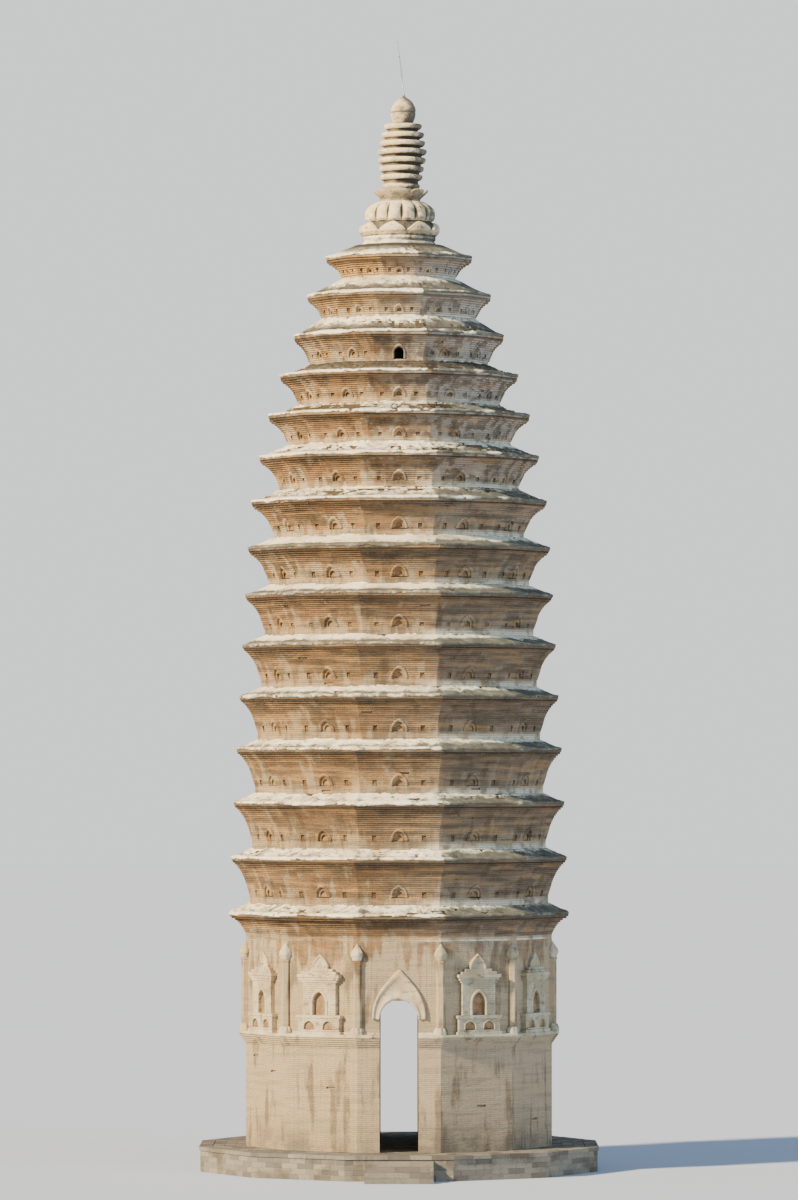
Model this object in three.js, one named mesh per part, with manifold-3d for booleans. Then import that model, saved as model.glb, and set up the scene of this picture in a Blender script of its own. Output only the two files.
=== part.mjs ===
// A twelve-sided brick pagoda with fifteen close-set corbelled eaves and a ringed finial.
// Millimetres, +Z up. The origin is on the ground at the tower's axis, and the front faces -Y.
// A tall first storey has four arched doorways and eight wall shrines under the lowest eave.
// Above it each tier is a low wall that curves out into a corbelled eave with a short roof.
// A shaft runs up the middle, from the chamber to the slab under the finial. It is twelve-sided
// in the first storey and eight-sided above.

import * as THREE from "three";
import { mergeVertices } from "three/addons/utils/BufferGeometryUtils.js";
import Module from "manifold-3d";

const wasm = await Module();
wasm.setup();

// Plan
const SIDES = 12;
const SECTOR = (2 * Math.PI) / SIDES;
const WALL_SIDE = 2810;
const WALL_APOTHEM = WALL_SIDE / 2 / Math.tan(SECTOR / 2);
const WALL_THICKNESS = 2500;
const CHAMBER_APOTHEM = WALL_APOTHEM - WALL_THICKNESS;
const JOINT_GAP = 0.3;
// How far forms of one solid run into each other, and cuts run past a face
const OVERLAP = 20;

// Platform and steps
const PLATFORM_WALK = 1600;
const PLATFORM_APOTHEM = WALL_APOTHEM + PLATFORM_WALK;
const PLATFORM_TOP = 850;
const COPING_HEIGHT = 130;
const COPING_OVERHANG = 50;
const STEP_COUNT = 4;
const STEP_RISE = PLATFORM_TOP / (STEP_COUNT + 1);
const STEP_TREAD = 320;
const STEP_WIDTH = 2300;
const FLOOR_THICKNESS = 60;

// First storey
const LOWER_WALL_TOP = 4350;
const WAIST_CORBEL_HEIGHT = 350;
const WAIST_LIP_HEIGHT = 100;
const WAIST_REACH = 240;
const UPPER_WALL_TOP = 7950;
const LEDGE_TOP = LOWER_WALL_TOP + WAIST_CORBEL_HEIGHT + WAIST_LIP_HEIGHT;

// Doorways
const DOOR_HALF_WIDTH = 650;
const DOOR_SPRING = 5350;
const ARCH_BEARING = 280;
const HOOD_HALF_WIDTH = 900;
const HOOD_HEIGHT = 1700;
const HOOD_DEPTH = 130;
const HOOD_ROOT = 40;
const ARCH_SEGMENTS = 16;

// Shares of a flame arch's half width and height, at the handles of its curve
const FLAME_SHOULDER = { width: 1.02, rise: 0.42 };
const FLAME_HEAD = { width: 0.62, rise: 0.66 };

// One row for each eave, from the lowest up. The lip is the height of the eave's lower edge,
// the reach is its apothem, the wall is the apothem of the low wall under it,
// and the rise is how far its roof climbs to the foot of the next wall.
const EAVES = [
  { lip: 8720, reach: 5810, wall: WALL_APOTHEM, rise: 420 },
  { lip: 10620, reach: 5740, wall: 5120, rise: 420 },
  { lip: 12500, reach: 5660, wall: 5040, rise: 420 },
  { lip: 14340, reach: 5570, wall: 4950, rise: 420 },
  { lip: 16140, reach: 5470, wall: 4850, rise: 420 },
  { lip: 17900, reach: 5370, wall: 4740, rise: 420 },
  { lip: 19620, reach: 5270, wall: 4620, rise: 430 },
  { lip: 21240, reach: 5180, wall: 4480, rise: 460 },
  { lip: 22840, reach: 5070, wall: 4300, rise: 510 },
  { lip: 24380, reach: 4800, wall: 4120, rise: 500 },
  { lip: 25820, reach: 4490, wall: 3840, rise: 440 },
  { lip: 27210, reach: 4090, wall: 3480, rise: 470 },
  { lip: 28570, reach: 3600, wall: 3050, rise: 700 },
  { lip: 29970, reach: 3150, wall: 2630, rise: 710 },
  { lip: 31310, reach: 2510, wall: 1920, rise: 550 },
];
const SHAFT_SHARE = 0.52;
const SHAFT_SIDES = 8;
const PLUMB_SHARE = 0.2;
const UPPER_PLUMB_SHARE = 0.06;
const COVE_STRAIGHT_SHARE = 0.57;
const COVE_POWER = 4;
const COVE_STEPS = 6;
const LIP_HEIGHT = 130;
const ROOF_EDGE_SHARE = 0.3;
const ROOF_EDGE_RISE_SHARE = 0.2;
const CROWN_APOTHEM = 1420;

// The one window that is open, high on the front, in a wall that closes a slot in its tier
const WINDOW_TIER = 13;
const WINDOW_WALL_HALF_WIDTH = 600;
const WINDOW_WALL_HEIGHT = 720;
const WINDOW_HALF_WIDTH = 160;
const WINDOW_SILL = 80;
const WINDOW_SPRING = 320;

// Corner columns of the first storey. A turned profile is a list of radii,
// each with its share of the way up.
const COLUMN_RADIUS = 165;
const COLUMN_SIDES = 6;
const COLUMN_TOP = 7330;
const COLUMN_FOOT_HEIGHT = 260;
const COLUMN_FOOT_PROFILE = [[235, 0], [235, 0.49], [COLUMN_RADIUS, 1]];
const BUD_HEIGHT = 560;
const BUD_PROFILE = [[190, 0], [240, 0.28], [192, 0.6]];
const ROUND_SIDES = 10;

// Wall shrines: half width, projection and top of each stage above the ledge
const SHRINE_STAGES = [
  { halfWidth: 860, depth: 235, top: 110 },
  { halfWidth: 800, depth: 205, top: 560 },
  { halfWidth: 860, depth: 235, top: 660 },
  { halfWidth: 640, depth: 160, top: 1760 },
  { halfWidth: 700, depth: 190, top: 1840 },
  { halfWidth: 760, depth: 220, top: 1930 },
  { halfWidth: 820, depth: 250, top: 2040 },
  { halfWidth: 680, depth: 200, top: 2130 },
  { halfWidth: 520, depth: 160, top: 2220 },
];
const SHRINE_NICHE = { halfWidth: 270, sill: 660, spring: 1120, backWall: 30 };
const SHRINE_CREST = { halfWidth: 330, depth: 130, height: 520 };

// Finial, which leans a little to the right
const FINIAL_LEAN = 0.033;
const PLINTH_APOTHEM = 1260;
const PLINTH_TOP = 32150;
const LOTUS_TOP = 32680;
const LOTUS_PROFILE = [[1200, 0], [1240, 0.15], [1380, 0.52], [1350, 0.68], [1170, 1]];
const LOTUS_PETALS = 12;
const LOTUS_SWELL = 0.05;
const DRUM_TOP = 33370;
const DRUM_PROFILE = [[1130, 0], [1190, 0.3], [1130, 0.68], [930, 0.9], [820, 1]];
const DRUM_LOBES = 16;
const DRUM_SWELL = 0.025;
const DISH_TOP = 33800;
const DISH_PROFILE = [[650, 0], [730, 0.4], [905, 0.85], [890, 0.93], [690, 1]];
const DISH_PETALS = 8;
const DISH_SWELL = 0.03;
const NECK_TOP = 34040;
const NECK_RADIUS = 640;
const RINGS_TOP = 36100;
const RING_RADII = [740, 780, 835, 855, 795, 745, 660];
const RING_SHARE = 0.62;
const RING_CORE_SHARE = 0.78;
const RING_TUCK = 30;
const JEWEL_TOP = 37050;
const JEWEL_PROFILE = [
  [350, 0],
  [400, 0.18],
  [420, 0.35],
  [405, 0.5],
  [336, 0.7],
  [210, 0.85],
  [45, 1],
];
const RING_SIDES = 32;
const PETAL_SIDES = 48;
const LOBE_SIDES = 64;

// Lightning rod
const ROD_LENGTH = 2020;
const ROD_PROFILE = [[18, 0], [18, 0.93]];
const ROD_LEAN = THREE.MathUtils.degToRad(-8.5);
const SOCKET_PROFILE = [[40, 0], [40, 1]];
const SOCKET_HEIGHT = 90;
const ROD_SIDES = 8;

const finish = (colour, roughness, metalness = 0) =>
  new THREE.MeshStandardMaterial({ color: colour, roughness, metalness });
const brick = finish(0xc09a72, 0.92);
const limedBrick = finish(0xd6bd98, 0.9);
const lime = finish(0xe6d9bd, 0.88);
const paving = finish(0x9a9184, 0.9);
const steel = finish(0x8f9499, 0.45, 0.8);

// Solids

// Position-only geometry with shared vertices, ready to become a solid.
function welded(geometry) {
  const bare = new THREE.BufferGeometry();
  bare.setAttribute("position", geometry.getAttribute("position"));
  if (geometry.index) bare.setIndex(geometry.index);
  return mergeVertices(bare, 1e-3);
}

function toSolid(geometry) {
  const merged = welded(geometry);
  return new wasm.Manifold(
    new wasm.Mesh({
      numProp: 3,
      vertProperties: new Float32Array(merged.getAttribute("position").array),
      triVerts: new Uint32Array(merged.index.array),
    }),
  );
}

function toGeometry(solid) {
  const { vertProperties, triVerts } = solid.getMesh();
  const geometry = new THREE.BufferGeometry();
  geometry.setAttribute("position", new THREE.BufferAttribute(vertProperties, 3));
  geometry.setIndex(new THREE.BufferAttribute(triVerts, 1));
  geometry.computeVertexNormals();
  return geometry;
}

// Turns a profile of [radius, height] points about the +Z axis.
function turned(profile, sides, start = 0) {
  const points = profile.map(([radius, height]) => new THREE.Vector2(radius, height));
  return new THREE.LatheGeometry(points, sides, start).rotateX(Math.PI / 2);
}

// The same for a twelve-sided form whose profile is given as [apothem, height],
// with one flat side facing the front.
function dodecagonal(profile) {
  const toCorner = 1 / Math.cos(SECTOR / 2);
  const corners = profile.map(([apothem, height]) => [apothem * toCorner, height]);
  return turned(corners, SIDES, SECTOR / 2);
}

// A turned form between two heights, made from one of those profiles and filled to its axis.
function filled(profile, sides, bottom, top) {
  const rise = top - bottom;
  const side = profile.map(([radius, share]) => [radius, bottom + share * rise]);
  return turned([[0, bottom], ...side, [0, top]], sides);
}

// A box that stands in front of the plane y = back and reaches out towards -Y.
function block(halfWidth, depth, bottom, top, back = 0) {
  return new THREE.BoxGeometry(2 * halfWidth, depth, top - bottom).translate(
    0,
    back - depth / 2,
    (bottom + top) / 2,
  );
}

// A round-headed opening, from back to front along Y, as a solid to cut with.
function archedHole(halfWidth, bottom, spring, front, back) {
  const outline = new THREE.Shape();
  outline.moveTo(-halfWidth, bottom);
  outline.lineTo(halfWidth, bottom);
  outline.lineTo(halfWidth, spring);
  outline.absarc(0, spring, halfWidth, 0, Math.PI, false);
  return standing(outline, front - back).translate(0, back, 0);
}

// An outline drawn in X and Z, given a depth towards -Y from the plane y = 0.
function standing(outline, depth) {
  return new THREE.ExtrudeGeometry(outline, {
    depth,
    bevelEnabled: false,
    curveSegments: ARCH_SEGMENTS / 2,
  }).rotateX(Math.PI / 2);
}

// A pointed, horseshoe-sided outline, such as a flame arch.
function flameOutline(halfWidth, foot, height) {
  const shoulder = [halfWidth * FLAME_SHOULDER.width, foot + height * FLAME_SHOULDER.rise];
  const head = [halfWidth * FLAME_HEAD.width, foot + height * FLAME_HEAD.rise];
  const outline = new THREE.Shape();
  outline.moveTo(halfWidth, foot);
  outline.bezierCurveTo(...shoulder, ...head, 0, foot + height);
  outline.bezierCurveTo(-head[0], head[1], -shoulder[0], shoulder[1], -halfWidth, foot);
  return outline;
}

const pagoda = new THREE.Group();

function place(name, geometry, material, parent = pagoda) {
  const mesh = new THREE.Mesh(geometry, material);
  mesh.name = name;
  parent.add(mesh);
  return mesh;
}

// Platform, steps and floor

place(
  "platform",
  dodecagonal([
    [0, 0],
    [PLATFORM_APOTHEM - COPING_OVERHANG, 0],
    [PLATFORM_APOTHEM - COPING_OVERHANG, PLATFORM_TOP - COPING_HEIGHT],
    [PLATFORM_APOTHEM, PLATFORM_TOP - COPING_HEIGHT],
    [PLATFORM_APOTHEM, PLATFORM_TOP],
    [0, PLATFORM_TOP],
  ]),
  paving,
);

function stepsGeometry() {
  const side = new THREE.Shape();
  side.moveTo(0, 0);
  side.lineTo(STEP_COUNT * STEP_TREAD, 0);
  for (let i = 1; i <= STEP_COUNT; i++) {
    side.lineTo((STEP_COUNT - i + 1) * STEP_TREAD, i * STEP_RISE);
    side.lineTo((STEP_COUNT - i) * STEP_TREAD, i * STEP_RISE);
  }
  return new THREE.ExtrudeGeometry(side, { depth: STEP_WIDTH, bevelEnabled: false })
    .translate(0, 0, -STEP_WIDTH / 2)
    .rotateX(Math.PI / 2)
    .rotateZ(-Math.PI / 2)
    .translate(0, COPING_OVERHANG - PLATFORM_APOTHEM - JOINT_GAP, 0);
}
place("front_steps", stepsGeometry(), paving);

place(
  "chamber_floor",
  dodecagonal([
    [0, PLATFORM_TOP],
    [CHAMBER_APOTHEM - JOINT_GAP, PLATFORM_TOP],
    [CHAMBER_APOTHEM - JOINT_GAP, PLATFORM_TOP + FLOOR_THICKNESS],
    [0, PLATFORM_TOP + FLOOR_THICKNESS],
  ]),
  paving,
);

// First storey: each stage is a ring, cut into four by the doorways

const QUARTERS = ["front_right", "back_right", "back_left", "front_left"];
const DOORS = ["front", "right", "back", "left"];

// Two crossing slots, through the whole tower, as wide as the doorways.
function crossingSlots(halfWidth, bottom, top) {
  const reach = 2 * PLATFORM_APOTHEM;
  const along = block(halfWidth, 2 * reach, bottom, top, reach);
  const across = along.clone().rotateZ(Math.PI / 2);
  return toSolid(along).add(toSolid(across));
}

// Splits a ring that the slots have cut, and finds which quarter each body stands in.
function quartersOf(ring) {
  const found = {};
  for (const body of ring.decompose()) {
    const { min, max } = body.boundingBox();
    const side = min[0] + max[0] > 0 ? "right" : "left";
    const end = min[1] + max[1] > 0 ? "back" : "front";
    found[`${end}_${side}`] = body;
  }
  return found;
}

const lowerRing = toSolid(
  dodecagonal([
    [CHAMBER_APOTHEM, PLATFORM_TOP],
    [WALL_APOTHEM, PLATFORM_TOP],
    [WALL_APOTHEM, LOWER_WALL_TOP],
    [CHAMBER_APOTHEM, LOWER_WALL_TOP],
    [CHAMBER_APOTHEM, PLATFORM_TOP],
  ]),
);
const lowerQuarters = quartersOf(
  lowerRing.subtract(crossingSlots(DOOR_HALF_WIDTH, 0, UPPER_WALL_TOP)),
);
for (const quarter of QUARTERS)
  place(`lower_wall_${quarter}`, toGeometry(lowerQuarters[quarter]), limedBrick);

const upperRing = toSolid(
  dodecagonal([
    [CHAMBER_APOTHEM, LOWER_WALL_TOP],
    [WALL_APOTHEM, LOWER_WALL_TOP],
    [WALL_APOTHEM + WAIST_REACH, LOWER_WALL_TOP + WAIST_CORBEL_HEIGHT],
    [WALL_APOTHEM + WAIST_REACH, LEDGE_TOP],
    [WALL_APOTHEM, LEDGE_TOP],
    [WALL_APOTHEM, UPPER_WALL_TOP],
    [CHAMBER_APOTHEM, UPPER_WALL_TOP],
    [CHAMBER_APOTHEM, LOWER_WALL_TOP],
  ]),
);

// A six-sided column with a round foot, and a bud on its top.
function columnSolid() {
  const footTop = LEDGE_TOP + COLUMN_FOOT_HEIGHT;
  const foot = filled(COLUMN_FOOT_PROFILE, ROUND_SIDES, LEDGE_TOP - OVERLAP, footTop);
  const shaftProfile = [[COLUMN_RADIUS, 0], [COLUMN_RADIUS, 1]];
  const shaft = filled(shaftProfile, COLUMN_SIDES, LEDGE_TOP, COLUMN_TOP + OVERLAP);
  const bud = filled(BUD_PROFILE, ROUND_SIDES, COLUMN_TOP, COLUMN_TOP + BUD_HEIGHT);
  return toSolid(foot).add(toSolid(shaft)).add(toSolid(bud));
}

// The column at corner n, counted from the front's right-hand corner.
const cornerRadius = WALL_APOTHEM / Math.cos(SECTOR / 2);
function columnAt(n) {
  const turn = SECTOR / 2 + n * SECTOR;
  const degrees = THREE.MathUtils.radToDeg(turn);
  return columnSolid().translate([0, -cornerRadius, 0]).rotate([0, 0, degrees]);
}

const archSlots = crossingSlots(
  DOOR_HALF_WIDTH + ARCH_BEARING,
  DOOR_SPRING,
  UPPER_WALL_TOP + OVERLAP,
);
const upperQuarters = quartersOf(
  upperRing
    .subtract(crossingSlots(DOOR_HALF_WIDTH, 0, DOOR_SPRING + OVERLAP))
    .subtract(archSlots),
);
QUARTERS.forEach((quarter, q) => {
  let wall = upperQuarters[quarter];
  for (const corner of [0, 1, 2]) wall = wall.add(columnAt(3 * q + corner));
  place(`upper_wall_${quarter}`, toGeometry(wall), limedBrick);
});

// The front doorway's arch, which bears on the walls at both sides, with its pointed hood.
function doorArchSolid() {
  const span = block(
    DOOR_HALF_WIDTH + ARCH_BEARING - JOINT_GAP,
    PLATFORM_APOTHEM,
    DOOR_SPRING + JOINT_GAP,
    UPPER_WALL_TOP - JOINT_GAP,
  );
  const outline = flameOutline(HOOD_HALF_WIDTH, DOOR_SPRING + JOINT_GAP, HOOD_HEIGHT);
  const hood = standing(outline, HOOD_ROOT + HOOD_DEPTH).translate(
    0,
    HOOD_ROOT - WALL_APOTHEM,
    0,
  );
  const barrel = archedHole(DOOR_HALF_WIDTH, LOWER_WALL_TOP, DOOR_SPRING, PLATFORM_APOTHEM, 0);
  return upperRing.intersect(toSolid(span)).add(toSolid(hood)).subtract(toSolid(barrel));
}

const doorArch = toGeometry(doorArchSolid());
DOORS.forEach((door, n) => {
  const mesh = place(`${door}_door_arch`, doorArch, limedBrick);
  mesh.rotation.z = (n * Math.PI) / 2;
});

// A shrine in the form of a one-storey tower, on its stepped base.
function shrineSolid() {
  let below = LEDGE_TOP;
  let solid = null;
  for (const stage of SHRINE_STAGES) {
    const top = LEDGE_TOP + stage.top;
    const slab = toSolid(block(stage.halfWidth, stage.depth, below, top));
    solid = solid ? solid.add(slab) : slab;
    below = top;
  }
  const niche = archedHole(
    SHRINE_NICHE.halfWidth,
    LEDGE_TOP + SHRINE_NICHE.sill,
    LEDGE_TOP + SHRINE_NICHE.spring,
    WALL_THICKNESS,
    -SHRINE_NICHE.backWall,
  );
  const crest = flameOutline(SHRINE_CREST.halfWidth, below - OVERLAP, SHRINE_CREST.height);
  return solid.subtract(toSolid(niche)).add(toSolid(standing(crest, SHRINE_CREST.depth)));
}

const shrine = toGeometry(shrineSolid());
let shrineCount = 0;
for (let facet = 0; facet < SIDES; facet++) {
  if (facet % 3 === 0) continue;
  shrineCount += 1;
  const turn = new THREE.Group();
  turn.rotation.z = facet * SECTOR;
  pagoda.add(turn);
  const mesh = place(`shrine_${String(shrineCount).padStart(2, "0")}`, shrine, lime, turn);
  mesh.position.y = -WALL_APOTHEM - JOINT_GAP;
}

// Tiers

const footOf = (n) => (n === 0 ? UPPER_WALL_TOP : EAVES[n - 1].lip + EAVES[n - 1].rise);
const wallAbove = (n) => (n === EAVES.length - 1 ? CROWN_APOTHEM : EAVES[n + 1].wall);

// The courses lean out from the plumb wall's head, and flare as they near the lip.
function covePoints(eave, plumbTop) {
  const points = [];
  for (let i = 0; i <= COVE_STEPS; i++) {
    const t = i / COVE_STEPS;
    const share = COVE_STRAIGHT_SHARE * t + (1 - COVE_STRAIGHT_SHARE) * t ** COVE_POWER;
    const apothem = eave.wall + share * (eave.reach - eave.wall);
    points.push([apothem, plumbTop + t * (eave.lip - plumbTop)]);
  }
  return points;
}

// An eight-sided prism, with one flat side facing the front, to cut the shaft with.
function shaftSolid(apothem, bottom, top) {
  const radius = apothem / Math.cos(Math.PI / SHAFT_SIDES);
  const prism = new THREE.CylinderGeometry(radius, radius, top - bottom, SHAFT_SIDES)
    .rotateX(Math.PI / 2)
    .rotateZ(Math.PI / SHAFT_SIDES)
    .translate(0, 0, (bottom + top) / 2);
  return toSolid(prism);
}

function tierSolid(n) {
  const eave = EAVES[n];
  const foot = footOf(n);
  const top = footOf(n + 1);
  const plumbShare = n + 1 < WINDOW_TIER ? PLUMB_SHARE : UPPER_PLUMB_SHARE;
  const plumbTop = foot + plumbShare * (eave.lip - foot);
  const lipTop = eave.lip + LIP_HEIGHT;
  const edge = eave.reach - ROOF_EDGE_SHARE * (eave.reach - wallAbove(n));
  const mass = dodecagonal([
    [0, foot],
    [eave.wall, foot],
    ...covePoints(eave, plumbTop),
    [eave.reach, lipTop],
    [edge, lipTop + ROOF_EDGE_RISE_SHARE * (top - lipTop)],
    [wallAbove(n), top],
    [0, top],
  ]);
  return toSolid(mass).subtract(
    shaftSolid(SHAFT_SHARE * eave.wall, foot - OVERLAP, top + OVERLAP),
  );
}

// The front of the window's tier, and the slot that it closes.
function placeWindowTier(name, tier, n) {
  const foot = footOf(n);
  const depth = 2 * EAVES[n].wall;
  const top = foot + WINDOW_WALL_HEIGHT;
  const slot = block(WINDOW_WALL_HALF_WIDTH, depth, foot - OVERLAP, top);
  const infill = block(
    WINDOW_WALL_HALF_WIDTH - JOINT_GAP,
    depth,
    foot - OVERLAP,
    top - JOINT_GAP,
  );
  const hole = archedHole(
    WINDOW_HALF_WIDTH,
    foot + WINDOW_SILL,
    foot + WINDOW_SPRING,
    depth,
    0,
  );
  place(name, toGeometry(tier.subtract(toSolid(slot))), brick);
  place(
    "window_wall",
    toGeometry(tier.intersect(toSolid(infill)).subtract(toSolid(hole))),
    brick,
  );
}

EAVES.forEach((eave, n) => {
  const name = `tier_${String(n + 1).padStart(2, "0")}`;
  const tier = tierSolid(n);
  if (n + 1 === WINDOW_TIER) placeWindowTier(name, tier, n);
  else place(name, toGeometry(tier), brick);
});

// Finial: every level face stays level, and each piece is sheared along with the lean

const CROWN_TOP = footOf(EAVES.length);
const lean = new THREE.Matrix4().makeShear(0, 0, 0, 0, FINIAL_LEAN, 0);

function placeOnCrown(name, geometry, material = lime) {
  geometry.translate(0, 0, -CROWN_TOP).applyMatrix4(lean).translate(0, 0, CROWN_TOP);
  place(name, geometry, material);
}

// Swells a turned form into lobes, which are as many as the petals carved on it.
function lobed(geometry, lobes, share) {
  const position = geometry.getAttribute("position");
  for (let i = 0; i < position.count; i++) {
    const x = position.getX(i);
    const y = position.getY(i);
    const swell = 1 + share * Math.cos(lobes * Math.atan2(y, x));
    position.setXY(i, x * swell, y * swell);
  }
  return geometry;
}

placeOnCrown(
  "finial_plinth",
  dodecagonal([
    [0, CROWN_TOP],
    [PLINTH_APOTHEM, CROWN_TOP],
    [PLINTH_APOTHEM, PLINTH_TOP],
    [0, PLINTH_TOP],
  ]),
);

const lotus = filled(LOTUS_PROFILE, PETAL_SIDES, PLINTH_TOP, LOTUS_TOP);
placeOnCrown("finial_lotus", lobed(lotus, LOTUS_PETALS, LOTUS_SWELL));

const drum = filled(DRUM_PROFILE, LOBE_SIDES, LOTUS_TOP, DRUM_TOP);
placeOnCrown("finial_drum", lobed(drum, DRUM_LOBES, DRUM_SWELL));

const dish = filled(DISH_PROFILE, PETAL_SIDES, DRUM_TOP, DISH_TOP);
placeOnCrown("finial_dish", lobed(dish, DISH_PETALS, DISH_SWELL));

// Seven discs on a core, above a short neck, each with an upright rim and a level top.
function ringStackProfile() {
  const pitch = (RINGS_TOP - NECK_TOP) / RING_RADII.length;
  const profile = [
    [0, DISH_TOP],
    [NECK_RADIUS, DISH_TOP],
    [NECK_RADIUS, NECK_TOP],
  ];
  RING_RADII.forEach((radius, i) => {
    const bottom = NECK_TOP + i * pitch;
    const under = bottom + pitch * (1 - RING_SHARE);
    const core = radius * RING_CORE_SHARE;
    profile.push([core, bottom], [core, under - RING_TUCK]);
    profile.push([radius, under], [radius, bottom + pitch - RING_TUCK]);
  });
  profile.push([RING_RADII[RING_RADII.length - 1] * RING_CORE_SHARE, RINGS_TOP], [0, RINGS_TOP]);
  return profile;
}
placeOnCrown("finial_rings", turned(ringStackProfile(), RING_SIDES));

placeOnCrown("finial_jewel", filled(JEWEL_PROFILE, RING_SIDES, RINGS_TOP, JEWEL_TOP));

// Lightning rod, in a short socket on the jewel's flat tip, leaning a little to the left.
function rodSolid() {
  const socket = filled(SOCKET_PROFILE, ROD_SIDES, JEWEL_TOP, JEWEL_TOP + SOCKET_HEIGHT);
  const rod = filled(ROD_PROFILE, ROD_SIDES, 0, ROD_LENGTH)
    .rotateY(ROD_LEAN)
    .translate(0, 0, JEWEL_TOP + SOCKET_HEIGHT / 2);
  return toSolid(socket).add(toSolid(rod));
}
placeOnCrown("lightning_rod", toGeometry(rodSolid()), steel);

export default pagoda;
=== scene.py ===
# A twelve-sided brick pagoda: its brickwork, plaster and carving, laid over its solids.
# Metres, +Z up. The origin is on the ground at the tower's axis, and the front faces -Y.
# Facet 0 is the front, and the others follow anticlockwise, seen from above. On a facet, s runs
# to the right along the wall, a runs out from the tower's axis, and z runs up.

import math

import bpy
import numpy as np
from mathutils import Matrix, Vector, noise


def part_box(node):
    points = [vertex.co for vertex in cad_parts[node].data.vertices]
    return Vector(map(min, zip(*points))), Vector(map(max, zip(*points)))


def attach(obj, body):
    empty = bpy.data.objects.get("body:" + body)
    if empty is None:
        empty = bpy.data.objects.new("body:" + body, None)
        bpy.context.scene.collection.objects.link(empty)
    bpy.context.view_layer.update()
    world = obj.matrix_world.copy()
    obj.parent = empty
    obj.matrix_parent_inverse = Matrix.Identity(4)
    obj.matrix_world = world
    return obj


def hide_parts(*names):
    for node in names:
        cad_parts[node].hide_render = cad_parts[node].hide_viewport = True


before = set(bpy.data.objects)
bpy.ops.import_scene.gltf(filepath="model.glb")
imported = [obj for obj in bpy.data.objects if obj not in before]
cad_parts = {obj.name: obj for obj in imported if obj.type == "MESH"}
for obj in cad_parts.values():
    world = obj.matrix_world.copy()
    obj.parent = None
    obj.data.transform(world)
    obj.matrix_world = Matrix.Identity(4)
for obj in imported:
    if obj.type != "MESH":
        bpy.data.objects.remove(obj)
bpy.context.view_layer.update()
rng = np.random.default_rng(12)

# Plan
SIDES = 12
SECTOR = math.tau / SIDES
HALF_TAN = math.tan(SECTOR / 2)
BACK_CORNER = 5.5 * SECTOR
DOOR_FACETS = (0, 3, 6, 9)
QUARTERS = ("front_right", "back_right", "back_left", "front_left")
DOORS = ("front", "right", "back", "left")
TIERS = 15
WINDOW_TIER = 13

# Brickwork
COURSE = 0.068
ROOF_COURSE = 0.075
BRICK_LENGTH = 0.36
SHORTEST_BRICK = 0.09
BOND_SHIFT = 0.03
JOINT = 0.009
MORTAR_SETBACK = 0.011
BRICK_ROOT = 0.05
LOST_SHARE = 0.004
LOST_DEPTH = 0.07
# In the chamber, where a course shows one upright joint at most
CHAMBER_LENGTH = 9.0

# Plaster on the eaves
CAP_THICKNESS = 0.022
CAP_DIP = -0.03
CAP_ROW = 0.06
CAP_COLUMNS = 32

# The shaft's sides, its apothem as a share of the wall's, and how far in the top ledge reaches
SHAFT_SIDES = 8
SHAFT_SHARE = 0.52
LEDGE_INSIDE = 1.1

# The plaster of each roof, from the lowest up: the share that is left of it, and how dirty it is
# at its edge, over its lower part and near its head
ROOFS = [
    (0.70, 0.35, 0.60, 0.40), (0.70, 0.35, 0.55, 0.35), (0.70, 0.40, 0.55, 0.30),
    (0.75, 0.50, 0.75, 0.20), (0.80, 0.60, 0.90, 0.00), (0.90, 0.75, 1.00, -0.20),
    (0.95, 0.75, 1.10, -0.40), (0.95, 0.95, 0.60, -0.40), (0.56, 0.15, 0.70, 0.40),
    (0.45, 0.00, 0.62, 0.05), (0.28, 0.10, 0.85, 0.50), (0.30, 0.15, 0.90, 1.10),
    (0.60, 0.00, 1.20, 0.10), (0.75, 0.00, 1.15, 0.00), (0.80, 0.00, 0.25, 1.30),
]

# How much the right-hand side is darkened, as painted shade on the side away from the key light, given as
# extra grime; the last is the most that this may raise the grime to
COLUMN_PAINTED_SHADE = 0.5
FINIAL_PAINTED_SHADE = 0.45
ROOF_PAINTED_SHADE = 0.85
MOST_PAINTED_SHADE = 0.9

# Which of its piece's finishes a face takes: the main one, mortar, the one of bands and hoods,
# or that of a blind niche's back
MAIN, MORTAR, TRIM, DARK = range(4)


# Mesh making


def on_facet(facet, s, a, z):
    """Points given on a facet, as an array of x, y, z."""
    turn, s, a, z = np.broadcast_arrays(np.asarray(facet) * SECTOR, s, a, z)
    x = a * np.sin(turn) + s * np.cos(turn)
    y = -a * np.cos(turn) + s * np.sin(turn)
    return np.stack([x, y, z], axis=-1)


def ring(a, z):
    """The twelve corners at an apothem and a height, anticlockwise."""
    return on_facet(range(SIDES), a * HALF_TAN, a, z)


def pairs(marks):
    """Each mark with the next one."""
    return list(zip(marks[:-1], marks[1:]))


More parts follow.
